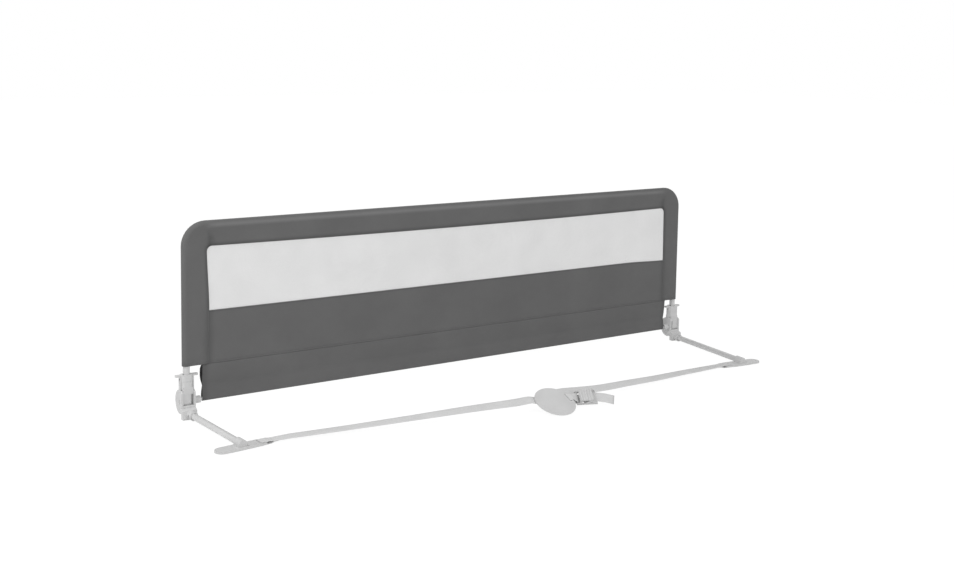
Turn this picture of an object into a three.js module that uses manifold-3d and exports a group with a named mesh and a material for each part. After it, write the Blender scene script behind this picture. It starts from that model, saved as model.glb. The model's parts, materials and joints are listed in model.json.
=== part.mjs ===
// Folding bed guard rail: a fabric fence on a steel tube frame that stands on two
// legs, folds down outwards at two latched hinges, and is held by webbing with a cam buckle.
// Millimetres. X runs along the rail, +Y is the outer side of the bed, +Z is up.
import * as THREE from 'three';
import * as BufferGeometryUtils from 'three/addons/utils/BufferGeometryUtils.js';
import Module from 'manifold-3d';

const wasm = await Module();
wasm.setup();

// Driving sizes of the whole rail
const POST_SPACING = 1487;
const COVER_TOP = 455;
const PIVOT_HEIGHT = 38;
const LEFT_REACH = 266;
const RIGHT_REACH = 314.5;
const ORIGIN_SHIFT = 204.856;
const RUNNING_GAP = 0.3;
const OVERRUN = 5;
const MERGE_DISTANCE = 0.0001;
const HALF_SPACING = POST_SPACING / 2;

// Steel tube frame
const TUBE_RADIUS = 8;
const TUBE_WALL = 1.2;
const BEND_RADIUS = 47;
const JOINT_FROM_POST = 372;
const JOINER_LENGTH = 90;
const JOINER_WALL = 1.5;
const TUBE_SIDES = 24;
const BEND_STEPS = 8;

// Fabric cover
const CLOTH = 1.2;
const SLEEVE_END = 121;
const BORDER_SIDE = 60.5;
const BORDER_TOP = 57.5;
const WINDOW_BOTTOM = 246;
const WINDOW_CORNER = 8;
const PANEL_FRONT = -7.5;
const SEAM_WIDTH = 6;
const NET_THICKNESS = 0.8;
const FLAP_CLEARANCE = 39.5;
const FLAP_HALF_WIDTH = HALF_SPACING - FLAP_CLEARANCE;
const SLEEVE_STEPS = 10;
const SEAM_OVERLAP = 2;

// Cross tube in the hem of the flap
const CROSS_RADIUS = 4;
const CROSS_WALL = 1;
const BUSHING_RADIUS = 8.5;
const BUSHING_LENGTH = 15;
const SPIGOT_LENGTH = 13;

// Base bracket with its two cheeks
const CHEEK_RADIUS = 28;
const CHEEK_THICKNESS = 4.5;
const CHEEK_INNER = 12.5;
const WEB_FRONT = -15;
const WEB_THICKNESS = 3;
const WEB_TOP = 60;
const OPENING_BOTTOM = 25;
const SOCKET_WALL = 2.5;
const SOCKET_END = -40;
const BLOCK_END = -24;
const GUSSET_TOP = 25;
const HEAD_RECESS = 1.5;
const PIN_RADIUS = 4;
const PIN_HEAD_RADIUS = 5.5;
const PIN_FLOOR = 1.5;

// Knuckle that carries an upright tube
const KNUCKLE_DEPTH = 11.5;
const KNUCKLE_HALF_WIDTH = 13.7;
const KNUCKLE_TOP = 85.7;
const KNUCKLE_CORNER = 9;
const SOCKET_FLOOR = 72;
const GROOVE_INSET = 6.5;
const GROOVE_DEPTH = 6.5;
const GROOVE_BOTTOM = 23;
const GROOVE_TOP = 56;
const BACK_SCREW_HEIGHT = 79;
const BACK_SCREW_RADIUS = 2;

// Release collar, its cross pin and the spring above the pin
const COLLAR_BOTTOM = 86;
const COLLAR_TOP = 101;
const WING_HALF_SPAN = 27;
const WING_DEPTH = 11;
const WING_THICKNESS = 4;
const FINGER_OUTER = 16.6;
const FINGER_INNER = 14;
const FINGER_DEPTH = 10;
const CROSS_PIN_RADIUS = 2.5;
const CROSS_PIN_HEIGHT = 90.5;
const CROSS_PIN_HALF = 15.6;
const RELEASE_TRAVEL = 9.5;
const STOP_PIN_RADIUS = 2;
const STOP_PIN_HEIGHT = 134;
const SPRING_RADIUS = 5.6;
const SPRING_WIRE = 0.6;
const SPRING_TURNS = 7;
const SPRING_STEPS = 8;
const SPRING_SIDES = 5;

// Legs and feet
const LEG_RADIUS = 7.5;
const LEG_HEIGHT = 11;
const FOOT_OUTSET = 15;
const FOOT_LENGTH = 122;
const FOOT_DEPTH = 36;
const FOOT_BOTTOM = 2.2;
const FOOT_TOP = 6.2;
const FOOT_SOCKET_BACK = 16;
const FOOT_SOCKET_FRONT = 9;
const PAD_INSET = 23;
const PAD_LENGTH = FOOT_LENGTH - PAD_INSET * 2;
const PAD_MARGIN = 5;
const PAD_DEPTH = FOOT_DEPTH - PAD_MARGIN * 2;
const STRAP_SLOT = 6;
const STRAP_SLOT_FROM_TIP = 19;
const LEG_SCREW_RADIUS = 3;
const LEG_SCREW_PLACE = -31;
const LEG_SCREW_END = 10.1;
const FOOT_WALL = 3;

// Webbing and the anchor disc that joins it
const WEB_WIDTH = 25;
const WEB_THICK = 1.4;
const DISC_RADIUS = 51;
const DISC_THICKNESS = 3.2;
const DISC_EDGE = 1;
const DISC_OFFSET = 25;
const DISC_REACH = 389.6;
const DISC_HEIGHT = 21;
const DISC_CENTRE = new THREE.Vector3(DISC_OFFSET, -DISC_REACH, DISC_HEIGHT);
const DISC_TILT = THREE.MathUtils.degToRad(22);
const STAPLE_CLEARANCE = 3.8;
const STAPLE_BAR = 2.2;
const LEFT_STAPLE_INNER = 15.4;
const LEFT_STAPLE_OUTER = 18.6;
const LEFT_STAPLE_HALF = 3;
const RIGHT_STAPLE_INNER = 12.9;
const RIGHT_STAPLE_OUTER = 15;
const RIGHT_STAPLE_HALF = 3.5;
const LINK_SLOT_WIDTH = 4;
const SLOT_LENGTH = 27;
const STRAP_LEAD = 8;
const STRAP_RISE = 14;
const STRAP_SLACK = 1;
const TWIST_STEPS = 5;

// Places on the disc as shares of its radius: along the webbing, and towards the rail
const LEFT_STAPLE_SHARES = [[-0.5385, 0.26], [0.5, 0.0058]];
const RIGHT_STAPLE_SHARES = [0.2308, 0.6442];
const LINK_SLOT_SHARES = [0.8077, 0.0865];
const [LEFT_STAPLE_A, LEFT_STAPLE_B, RIGHT_STAPLE, LINK_SLOT] = [
  ...LEFT_STAPLE_SHARES, RIGHT_STAPLE_SHARES, LINK_SLOT_SHARES,
].map(([along, inward]) => new THREE.Vector2(along, inward).multiplyScalar(DISC_RADIUS));

// Open runs of webbing, as shares of the half spacing of the posts, of the way from the foot
// out to the disc, of the height of the disc and of its tilt
const LEFT_ROUTE_SHARES = [
  [-0.8084, -0.0417, 0.34, 0.18],
  [-0.6277, 0.1538, 0.52, 0.27],
  [-0.4397, 0.3572, 0.77, 0.45],
  [-0.244, 0.5689, 1.07, 0.75],
  [-0.0919, 0.7335, 1.22, 1],
];
const RIGHT_ROUTE_SHARES = [
  [0.7782, -0.0508, 0.309, 0.23],
  [0.656, 0.0665, 0.444, 0.41],
  [0.528, 0.1893, 0.546, 0.59],
  [0.395, 0.317, 0.752, 0.82],
  [0.2533, 0.4529, 0.961, 1],
];

// Free tail beyond the buckle, as shares of its reach and of the tilt of the buckle
const TAIL_REACH = 62;
const TAIL_SHARES = [
  [0.7097, -0.3306, -0.0161, 1],
  [1, -0.5, -0.0968, 1.05],
];

// Cam buckle
const BUCKLE_FROM_DISC = 89;
const BUCKLE_BEYOND_DISC = 6;
const BUCKLE_BELOW_DISC = 2;
const BUCKLE_CENTRE = new THREE.Vector3(BUCKLE_FROM_DISC, -BUCKLE_BEYOND_DISC,
  -BUCKLE_BELOW_DISC).add(DISC_CENTRE);
const BUCKLE_TILT = THREE.MathUtils.degToRad(40);
const BUCKLE_YAW = THREE.MathUtils.degToRad(-20);
const BAR_PLACE = -24;
const BAR_HEIGHT = 1;
const BAR_RADIUS = 1.8;
const BAR_STEPS = 6;
const LINK_LEAN = THREE.MathUtils.degToRad(22);
const BASE_START = -8;
const BASE_END = 24;
const BASE_THICKNESS = 2;
const FRAME_HALF_WIDTH = 18;
const FRAME_CHEEK = 2;
const CHEEK_BACK = -27;
const CHEEK_LOW = 5;
const CHEEK_HIGH = 13.2;
const CAM_PLACE = 9;
const CAM_HEIGHT = 9.2;
const CAM_RADIUS = 4.2;
const TOOTH_RADIUS = 5.2;
const TOOTH_COUNT = 5;
const TOOTH_SPREAD = THREE.MathUtils.degToRad(84);
const CAM_HALF_WIDTH = 15.7;
const LEVER_BACK = -20;
const LEVER_FRONT = 14;
const LEVER_BOTTOM = 12;
const LEVER_THICKNESS = 2.5;
const RIB_RADIUS = 3.2;
const RIB_COUNT = 3;
const RIB_PITCH = 13;
const RIB_FIRST = -16;
const RIB_HEIGHT = 13.9;
const LEVER_PIN_RADIUS = 2;

const colours = {
  paintedSteel: new THREE.MeshStandardMaterial({ color: 0xd9d9d6, roughness: 0.45, metalness: 0.1 }),
  whitePlastic: new THREE.MeshStandardMaterial({ color: 0xd6d6d4, roughness: 0.5, metalness: 0 }),
  brightSteel: new THREE.MeshStandardMaterial({ color: 0xb4b6b8, roughness: 0.3, metalness: 0.9 }),
  darkCloth: new THREE.MeshStandardMaterial({ color: 0x636365, roughness: 0.95, metalness: 0 }),
  paleNet: new THREE.MeshStandardMaterial({ color: 0xdcdcdc, roughness: 0.9, metalness: 0 }),
  webbing: new THREE.MeshStandardMaterial({ color: 0xcfcfcd, roughness: 0.9, metalness: 0 }),
  rubber: new THREE.MeshStandardMaterial({ color: 0xa8a8a6, roughness: 0.85, metalness: 0 }),
};

// Geometry helpers: profiles, rods, blocks and lofts, joined and cut as closed solids
const ALONG_X = new THREE.Matrix4().makeBasis(
  new THREE.Vector3(0, 1, 0), new THREE.Vector3(0, 0, 1), new THREE.Vector3(1, 0, 0));
const ALONG_BACK = new THREE.Matrix4().makeBasis(
  new THREE.Vector3(1, 0, 0), new THREE.Vector3(0, 0, 1), new THREE.Vector3(0, -1, 0));

function solidOf(geometry) {
  const bare = geometry.clone();
  bare.deleteAttribute('normal');
  bare.deleteAttribute('uv');
  const merged = BufferGeometryUtils.mergeVertices(bare, MERGE_DISTANCE);
  return new wasm.Manifold(new wasm.Mesh({
    numProp: 3,
    vertProperties: new Float32Array(merged.attributes.position.array),
    triVerts: new Uint32Array(merged.index.array),
  }));
}

function geometryOf(solid) {
  const mesh = solid.getMesh();
  const geometry = new THREE.BufferGeometry();
  geometry.setAttribute('position', new THREE.BufferAttribute(mesh.vertProperties, mesh.numProp));
  geometry.setIndex(new THREE.BufferAttribute(mesh.triVerts, 1));
  const faceted = geometry.toNonIndexed();
  faceted.computeVertexNormals();
  return faceted;
}

function joined(solids) {
  return solids.reduce((sum, solid) => sum.add(solid));
}

function block(x0, x1, y0, y1, z0, z1) {
  const box = new THREE.BoxGeometry(Math.abs(x1 - x0), Math.abs(y1 - y0), Math.abs(z1 - z0));
  box.translate((x0 + x1) / 2, (y0 + y1) / 2, (z0 + z1) / 2);
  return solidOf(box);
}

function extruded(shape, depth, curveSegments) {
  return new THREE.ExtrudeGeometry(shape, { depth, bevelEnabled: false, curveSegments });
}

// A profile drawn in Y and Z, extruded from x0 to x1
function profileAlongX(shape, x0, x1, curveSegments = 12) {
  const geometry = extruded(shape, Math.abs(x1 - x0), curveSegments);
  geometry.applyMatrix4(ALONG_X);
  geometry.translate(Math.min(x0, x1), 0, 0);
  return geometry;
}

// A profile drawn in X and Z, extruded from the back y1 to the front y0
function profileAlongY(shape, y0, y1, curveSegments = 12) {
  const geometry = extruded(shape, Math.abs(y1 - y0), curveSegments);
  geometry.applyMatrix4(ALONG_BACK);
  geometry.translate(0, Math.max(y0, y1), 0);
  return geometry;
}

function profileAlongZ(shape, z0, z1, curveSegments = 12) {
  const geometry = extruded(shape, Math.abs(z1 - z0), curveSegments);
  geometry.translate(0, 0, Math.min(z0, z1));
  return geometry;
}

function rodAlongX(radius, x0, x1, y, z, sides = TUBE_SIDES) {
  const rod = new THREE.CylinderGeometry(radius, radius, Math.abs(x1 - x0), sides);
  rod.rotateZ(Math.PI / 2);
  rod.translate((x0 + x1) / 2, y, z);
  return solidOf(rod);
}

function rodAlongY(radius, y0, y1, x, z, sides = TUBE_SIDES) {
  const rod = new THREE.CylinderGeometry(radius, radius, Math.abs(y1 - y0), sides);
  rod.translate(x, (y0 + y1) / 2, z);
  return solidOf(rod);
}

function rodAlongZ(radius, z0, z1, x, y, sides = TUBE_SIDES) {
  const rod = new THREE.CylinderGeometry(radius, radius, Math.abs(z1 - z0), sides);
  rod.rotateX(Math.PI / 2);
  rod.translate(x, y, (z0 + z1) / 2);
  return solidOf(rod);
}

function roundedRectangle(x0, x1, y0, y1, radius) {
  const shape = new THREE.Shape();
  shape.moveTo(x0 + radius, y0);
  shape.lineTo(x1 - radius, y0);
  shape.absarc(x1 - radius, y0 + radius, radius, -Math.PI / 2, 0, false);
  shape.lineTo(x1, y1 - radius);
  shape.absarc(x1 - radius, y1 - radius, radius, 0, Math.PI / 2, false);
  shape.lineTo(x0 + radius, y1);
  shape.absarc(x0 + radius, y1 - radius, radius, Math.PI / 2, Math.PI, false);
  shape.lineTo(x0, y0 + radius);
  shape.absarc(x0 + radius, y0 + radius, radius, Math.PI, Math.PI * 3 / 2, false);
  return shape;
}

// Rings of equal point counts become the skin of a solid, flat-capped or closed on itself;
// on a flat band the opposite faces are split along parallel lines, so a twist keeps its thickness
function loft(rings, closedRoute = false, flatBand = false) {
  const count = rings[0].length;
  const points = rings.flat();
  const index = [];
  const last = closedRoute ? rings.length : rings.length - 1;
  for (let ring = 0; ring < last; ring += 1) {
    const here = ring * count;
    const next = ((ring + 1) % rings.length) * count;
    for (let side = 0; side < count; side += 1) {
      const turn = (side + 1) % count;
      if (flatBand && side >= count / 2) {
        index.push(here + side, here + turn, next + side, here + turn, next + turn, next + side);
      } else {
        index.push(here + side, here + turn, next + turn, here + side, next + turn, next + side);
      }
    }
  }
  if (!closedRoute) {
    const end = (rings.length - 1) * count;
    for (let side = 1; side < count - 1; side += 1) {
      index.push(0, side + 1, side, end, end + side, end + side + 1);
    }
  }
  let volume = 0;
  for (let face = 0; face < index.length; face += 3) {
    const [a, b, c] = [points[index[face]], points[index[face + 1]], points[index[face + 2]]];
    volume += a.clone().cross(b).dot(c);
  }
  if (volume < 0) index.reverse();
  const geometry = new THREE.BufferGeometry().setFromPoints(points);
  geometry.setIndex(index);
  const faceted = geometry.toNonIndexed();
  faceted.computeVertexNormals();
  return faceted;
}

// A route sampled exactly at chosen stations, so straight runs take one step
class StationRoute extends THREE.Curve {
  constructor(points, tangents) {
    super();
    this.points = points;
    this.tangents = tangents;
  }
  getPoint(t, target = new THREE.Vector3()) {
    const place = Math.min(Math.round(t * (this.points.length - 1)), this.points.length - 1);
    return target.copy(this.points[place]);
  }
  getPointAt(u, target) {
    return this.getPoint(u, target);
  }
  getTangentAt(u, target = new THREE.Vector3()) {
    const place = Math.min(Math.round(u * (this.points.length - 1)), this.points.length - 1);
    return target.copy(this.tangents[place]);
  }
}

function ringShape(outer, inner) {
  const shape = new THREE.Shape();
  shape.absarc(0, 0, outer, 0, Math.PI * 2, false);
  const bore = new THREE.Path();
  bore.absarc(0, 0, inner, 0, Math.PI * 2, true);
  shape.holes.push(bore);
  return shape;
}

function tubeAlong(points, tangents, outer, inner, sides = TUBE_SIDES) {
  return new THREE.ExtrudeGeometry(ringShape(outer, inner), {
    steps: points.length - 1,
    extrudePath: new StationRoute(points, tangents),
    curveSegments: sides / 2,
    bevelEnabled: false,
  });
}

const assembly = new THREE.Group();
const model = new THREE.Group();
model.position.y = ORIGIN_SHIFT;
assembly.add(model);

function addMesh(name, geometry, material, parent = model) {
  const mesh = new THREE.Mesh(geometry, material.clone());
  mesh.name = name;
  parent.add(mesh);
  return mesh;
}

function addSolid(name, solid, material, parent = model) {
  return addMesh(name, geometryOf(solid), material, parent);
}

// Both ends of the rail: side is -1 on the left and +1 on the right, reach is that of its leg
const ENDS = [
  { side: -1, label: 'left', reach: LEFT_REACH },
  { side: 1, label: 'right', reach: RIGHT_REACH },
];

function hingeGroup(end) {
  const group = new THREE.Group();
  group.position.x = end.side * HALF_SPACING;
  model.add(group);
  return group;
}

// Upright tube with its corner bend and half of the top rail, slotted for the cross pin
const TOP_AXIS = COVER_TOP - CLOTH - RUNNING_GAP - TUBE_RADIUS;
const SOCKET_BORE = TUBE_RADIUS + RUNNING_GAP;
const TUBE_END = SOCKET_FLOOR + RUNNING_GAP;

function makePostTube(end, group) {
  const inward = -end.side;
  const points = [new THREE.Vector3(0, 0, TUBE_END)];
  const tangents = [new THREE.Vector3(0, 0, 1)];
  for (let step = 0; step <= BEND_STEPS; step += 1) {
    const angle = (step / BEND_STEPS) * Math.PI / 2;
    const across = BEND_RADIUS * (1 - Math.cos(angle));
    const rise = TOP_AXIS - BEND_RADIUS + BEND_RADIUS * Math.sin(angle);
    points.push(new THREE.Vector3(inward * across, 0, rise));
    tangents.push(new THREE.Vector3(inward * Math.sin(angle), 0, Math.cos(angle)));
  }
  points.push(new THREE.Vector3(inward * (JOINT_FROM_POST - RUNNING_GAP / 2), 0, TOP_AXIS));
  tangents.push(new THREE.Vector3(inward, 0, 0));
  const tube = solidOf(tubeAlong(points, tangents, TUBE_RADIUS, TUBE_RADIUS - TUBE_WALL));
  const slotHalf = CROSS_PIN_RADIUS + RUNNING_GAP;
  const slot = block(-TUBE_RADIUS - OVERRUN, TUBE_RADIUS + OVERRUN, -slotHalf, slotHalf,
    CROSS_PIN_HEIGHT - slotHalf, CROSS_PIN_HEIGHT + RELEASE_TRAVEL + slotHalf);
  const stopHole = rodAlongX(STOP_PIN_RADIUS + RUNNING_GAP, -TUBE_RADIUS - OVERRUN,
    TUBE_RADIUS + OVERRUN, 0, STOP_PIN_HEIGHT, TUBE_SIDES / 2);
  const screwHole = rodAlongY(BACK_SCREW_RADIUS + RUNNING_GAP, 0, TUBE_RADIUS + OVERRUN,
    0, BACK_SCREW_HEIGHT, TUBE_SIDES / 2);
  addSolid(`post_tube_${end.label}`, tube.subtract(joined([slot, stopHole, screwHole])),
    colours.paintedSteel, group);
}

// Straight middle of the top rail, and the sleeves that join it to both upright tubes
const JOINT_X = HALF_SPACING - JOINT_FROM_POST;

function straightTubeAlongX(x0, x1, outer, inner, y, z) {
  const points = [new THREE.Vector3(x0, y, z), new THREE.Vector3(x1, y, z)];
  const tangents = [new THREE.Vector3(1, 0, 0), new THREE.Vector3(1, 0, 0)];
  return tubeAlong(points, tangents, outer, inner);
}

function makeTopTube() {
  const half = JOINT_X - RUNNING_GAP / 2;
  addMesh('top_tube', straightTubeAlongX(-half, half, TUBE_RADIUS, TUBE_RADIUS - TUBE_WALL,
    0, TOP_AXIS), colours.paintedSteel);
}

function makeJoiner(end) {
  const outer = TUBE_RADIUS - TUBE_WALL - RUNNING_GAP;
  const centre = end.side * JOINT_X;
  addMesh(`tube_joiner_${end.label}`, straightTubeAlongX(centre - JOINER_LENGTH / 2,
    centre + JOINER_LENGTH / 2, outer, outer - JOINER_WALL, 0, TOP_AXIS), colours.brightSteel);
}

// Fabric cover: a sleeve round the frame, drawn in to a flat seam, and the panel under the window
const COVER_HALF = HALF_SPACING + TUBE_RADIUS + RUNNING_GAP + CLOTH;
const SLEEVE_OUTER = TUBE_RADIUS + RUNNING_GAP + CLOTH;
const SLEEVE_INNER = TUBE_RADIUS + RUNNING_GAP;
const COVER_CORNER = BEND_RADIUS + SLEEVE_OUTER;
const WINDOW_HALF = COVER_HALF - BORDER_SIDE;
const WINDOW_TOP = COVER_TOP - BORDER_TOP;
const PANEL_BACK = PANEL_FRONT + CLOTH * 2;

// Points of the sleeve's section, as inset from the outer edge and depth: both layers leave
// the round of the tube as tangents to the seam
function tangentTurn(radius, across, depth, hand) {
  const lean = Math.atan2(-across, -depth);
  return lean + hand * Math.acos(radius / Math.hypot(across, depth));
}

function sleeveSection(radius, inset, seamInset, seamFront, seamBack) {
  const centre = inset + radius;
  const start = tangentTurn(radius, seamInset - centre, seamFront, 1);
  const finish = tangentTurn(radius, seamInset - centre, seamBack, -1) + Math.PI * 2;
  const section = [{ inset: seamInset, depth: seamFront }];
  for (let step = 0; step <= SLEEVE_STEPS; step += 1) {
    const angle = start + (step / SLEEVE_STEPS) * (finish - start);
    section.push({
      inset: centre - radius * Math.sin(angle),
      depth: -radius * Math.cos(angle),
    });
  }
  if (seamBack > seamFront) section.push({ inset: seamInset, depth: seamBack });
  return section;
}

// The inverted U at one inset from the outer edge of the cover
function coverOutline(place) {
  const tubeBand = SLEEVE_OUTER * 2;
  const share = Math.max(0, (place.inset - tubeBand) / (BORDER_SIDE - tubeBand));
  const topInset = Math.min(place.inset, tubeBand) + share * (BORDER_TOP - tubeBand);
  const exactRadius = COVER_CORNER - Math.min(place.inset, tubeBand);
  const radius = exactRadius + share * (WINDOW_CORNER - exactRadius);
  const half = COVER_HALF - place.inset;
  const top = COVER_TOP - topInset;
  const points = [new THREE.Vector3(-half, place.depth, SLEEVE_END)];
  for (let corner = 0; corner < 2; corner += 1) {
    const sign = corner === 0 ? -1 : 1;
    for (let step = 0; step <= BEND_STEPS; step += 1) {
      const turn = corner === 0 ? step / BEND_STEPS : 1 - step / BEND_STEPS;
      const angle = turn * Math.PI / 2;
      points.push(new THREE.Vector3(sign * (half - radius + radius * Math.cos(angle)),
        place.depth, top - radius + radius * Math.sin(angle)));
    }
  }
  points.push(new THREE.Vector3(half, place.depth, SLEEVE_END));
  return points;
}

function sleeveSkin(section) {
  const outlines = section.map(coverOutline);
  return outlines[0].map((unused, place) => outlines.map((outline) => outline[place]));
}

function makeCover() {
  const outer = sleeveSection(SLEEVE_OUTER, 0, BORDER_SIDE, PANEL_FRONT, PANEL_BACK);
  const middle = (PANEL_FRONT + PANEL_BACK) / 2;
  const inner = sleeveSection(SLEEVE_INNER, CLOTH, BORDER_SIDE - SEAM_WIDTH, middle, middle);
  const skin = solidOf(loft(sleeveSkin(outer)));
  const hollowRings = sleeveSkin(inner);
  const drop = new THREE.Vector3(0, 0, -OVERRUN);
  const hollow = [
    hollowRings[0].map((point) => point.clone().add(drop)),
    ...hollowRings,
    hollowRings[hollowRings.length - 1].map((point) => point.clone().add(drop)),
  ];
  const panel = block(-WINDOW_HALF - SEAM_OVERLAP, WINDOW_HALF + SEAM_OVERLAP,
    PANEL_FRONT, PANEL_BACK, SLEEVE_END, WINDOW_BOTTOM);
  addSolid('fabric_cover', skin.subtract(solidOf(loft(hollow))).add(panel), colours.darkCloth);
}

function makeWindowNet() {
  const half = WINDOW_HALF - RUNNING_GAP;
  const bottom = WINDOW_BOTTOM + RUNNING_GAP;
  const top = WINDOW_TOP - RUNNING_GAP;
  const radius = WINDOW_CORNER - RUNNING_GAP;
  const shape = new THREE.Shape();
  shape.moveTo(-half, bottom);
  shape.lineTo(half, bottom);
  shape.lineTo(half, top - radius);
  shape.absarc(half - radius, top - radius, radius, 0, Math.PI / 2, false);
  shape.lineTo(-half + radius, top);
  shape.absarc(-half + radius, top - radius, radius, Math.PI / 2, Math.PI, false);
  const middle = (PANEL_FRONT + PANEL_BACK) / 2;
  addMesh('window_net', profileAlongY(shape, middle - NET_THICKNESS / 2,
    middle + NET_THICKNESS / 2, BEND_STEPS / 2), colours.paleNet);
}

// Lower flap: two layers that hang from the panel and turn round the cross tube as a hem
function makeFlap() {
  const inner = CROSS_RADIUS + RUNNING_GAP;
  const outer = inner + CLOTH;
  const top = SLEEVE_END - RUNNING_GAP;
  const shape = new THREE.Shape();
  shape.moveTo(PANEL_FRONT, top);
  shape.lineTo(-outer, PIVOT_HEIGHT);
  shape.absarc(0, PIVOT_HEIGHT, outer, Math.PI, Math.PI * 2, false);
  shape.lineTo(PANEL_BACK, top);
  const hollow = new THREE.Path();
  hollow.moveTo(PANEL_FRONT + CLOTH, top - SEAM_WIDTH);
  hollow.lineTo(inner, PIVOT_HEIGHT);
  hollow.absarc(0, PIVOT_HEIGHT, inner, 0, -Math.PI, true);
  shape.holes.push(hollow);
  addMesh('lower_flap', profileAlongX(shape, -FLAP_HALF_WIDTH, FLAP_HALF_WIDTH),
    colours.darkCloth);
}

// Cross tube between the hinges, on a spigot of each bracket, with a bushing at each end
function makeCrossTube() {
  const half = HALF_SPACING - CHEEK_INNER - CHEEK_THICKNESS - RUNNING_GAP;
  addMesh('cross_tube', straightTubeAlongX(-half, half, CROSS_RADIUS, CROSS_RADIUS - CROSS_WALL,
    0, PIVOT_HEIGHT), colours.paintedSteel);
}

function makeBushing(end, group) {
  const start = CHEEK_INNER + CHEEK_THICKNESS + RUNNING_GAP;
  const ring = rodAlongX(BUSHING_RADIUS, -end.side * start, -end.side * (start + BUSHING_LENGTH),
    0, PIVOT_HEIGHT);
  const bore = rodAlongX(CROSS_RADIUS + RUNNING_GAP, -end.side * (start - OVERRUN),
    -end.side * (start + BUSHING_LENGTH + OVERRUN), 0, PIVOT_HEIGHT);
  addSolid(`cross_tube_bushing_${end.label}`, ring.subtract(bore), colours.whitePlastic, group);
}

// Base bracket: two cheeks round the knuckle, a low front web and the socket of the leg
const CHEEK_OUTER = CHEEK_INNER + CHEEK_THICKNESS;
const CHANNEL_FRONT = -KNUCKLE_DEPTH - RUNNING_GAP;
const LEG_BORE = LEG_RADIUS + RUNNING_GAP;
const LEG_SOCKET = LEG_BORE + SOCKET_WALL;

// Turn of each leg that brings both feet equally far out
function toeAngle(end) {
  const tip = FOOT_LENGTH / 2 - FOOT_DEPTH / 2;
  const swing = Math.acos(FOOT_OUTSET / Math.hypot(end.reach, tip)) - Math.atan2(end.reach, tip);
  return -end.side * swing;
}

function cheekProfile() {
  const shape = new THREE.Shape();
  const turn = Math.PI / 2 + Math.asin(-CHANNEL_FRONT / CHEEK_RADIUS);
  shape.moveTo(WEB_FRONT, WEB_TOP);
  shape.lineTo(CHANNEL_FRONT, PIVOT_HEIGHT + CHEEK_RADIUS * Math.sin(turn));
  shape.absarc(0, PIVOT_HEIGHT, CHEEK_RADIUS, turn, -turn, true);
  shape.lineTo(CHANNEL_FRONT, 0);
  shape.lineTo(BLOCK_END, 0);
  shape.lineTo(BLOCK_END, LEG_HEIGHT + LEG_SOCKET);
  shape.lineTo(WEB_FRONT, GUSSET_TOP);
  return shape;
}

function legSocketBoss(end) {
  const boss = rodAlongY(LEG_SOCKET, SOCKET_END, WEB_FRONT, 0, LEG_HEIGHT);
  const turned = boss.rotate([0, 0, THREE.MathUtils.radToDeg(toeAngle(end))]);
  return turned.intersect(block(-CHEEK_OUTER * 2, CHEEK_OUTER * 2, SOCKET_END - OVERRUN,
    BLOCK_END, 0, GUSSET_TOP));
}

function makeBracket(end, group) {
  const outward = end.side;
  const legTurn = [0, 0, THREE.MathUtils.radToDeg(toeAngle(end))];
  const slab = solidOf(profileAlongX(cheekProfile(), -CHEEK_OUTER, CHEEK_OUTER));
  const channel = block(-CHEEK_INNER, CHEEK_INNER, CHANNEL_FRONT, CHEEK_RADIUS + OVERRUN,
    -OVERRUN, PIVOT_HEIGHT + CHEEK_RADIUS + OVERRUN);
  const opening = block(-CHEEK_INNER, CHEEK_INNER, WEB_FRONT - OVERRUN, CHANNEL_FRONT + OVERRUN,
    OPENING_BOTTOM, PIVOT_HEIGHT + CHEEK_RADIUS);
  const bore = rodAlongY(LEG_BORE, SOCKET_END * 2, WEB_FRONT - WEB_THICKNESS,
    0, LEG_HEIGHT).rotate(legTurn);
  const screwHole = rodAlongX(LEG_SCREW_RADIUS + RUNNING_GAP, 0, outward * CHEEK_OUTER * 2,
    LEG_SCREW_PLACE, LEG_HEIGHT, TUBE_SIDES / 2).rotate(legTurn);
  const spigot = rodAlongX(CROSS_RADIUS - CROSS_WALL - RUNNING_GAP, -outward * CHEEK_INNER,
    -outward * (CHEEK_OUTER + SPIGOT_LENGTH), 0, PIVOT_HEIGHT);
  const pinHole = rodAlongX(PIN_RADIUS + RUNNING_GAP, -outward * (CHEEK_OUTER - PIN_FLOOR),
    outward * (CHEEK_OUTER + OVERRUN), 0, PIVOT_HEIGHT);
  const recess = rodAlongX(PIN_HEAD_RADIUS + RUNNING_GAP, outward * (CHEEK_OUTER - HEAD_RECESS),
    outward * (CHEEK_OUTER + OVERRUN), 0, PIVOT_HEIGHT);
  const body = slab.subtract(channel).subtract(opening).add(legSocketBoss(end)).add(spigot);
  const holes = joined([bore, screwHole, pinHole, recess]);
  addSolid(`base_bracket_${end.label}`, body.subtract(holes), colours.whitePlastic, group);
}

function makePivotPin(end, group) {
  const outward = end.side;
  const headStart = CHEEK_OUTER - HEAD_RECESS + RUNNING_GAP;
  const shank = rodAlongX(PIN_RADIUS, -outward * (CHEEK_OUTER - PIN_FLOOR - RUNNING_GAP),
    outward * headStart, 0, PIVOT_HEIGHT);
  const head = rodAlongX(PIN_HEAD_RADIUS, outward * headStart, outward * CHEEK_OUTER,
    0, PIVOT_HEIGHT);
  addSolid(`pivot_pin_${end.label}`, shank.add(head), colours.brightSteel, group);
}

// Knuckle: an eye between the cheeks below, and the socket of the upright tube above
function eyeProfile() {
  const shape = new THREE.Shape();
  shape.absarc(0, PIVOT_HEIGHT, KNUCKLE_DEPTH, Math.PI, Math.PI * 2, false);
  shape.lineTo(KNUCKLE_DEPTH, SOCKET_FLOOR);
  shape.lineTo(-KNUCKLE_DEPTH, SOCKET_FLOOR);
  return shape;
}

function housingOutline() {
  return roundedRectangle(-KNUCKLE_HALF_WIDTH, KNUCKLE_HALF_WIDTH, -KNUCKLE_DEPTH, KNUCKLE_DEPTH,
    KNUCKLE_CORNER);
}

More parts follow.
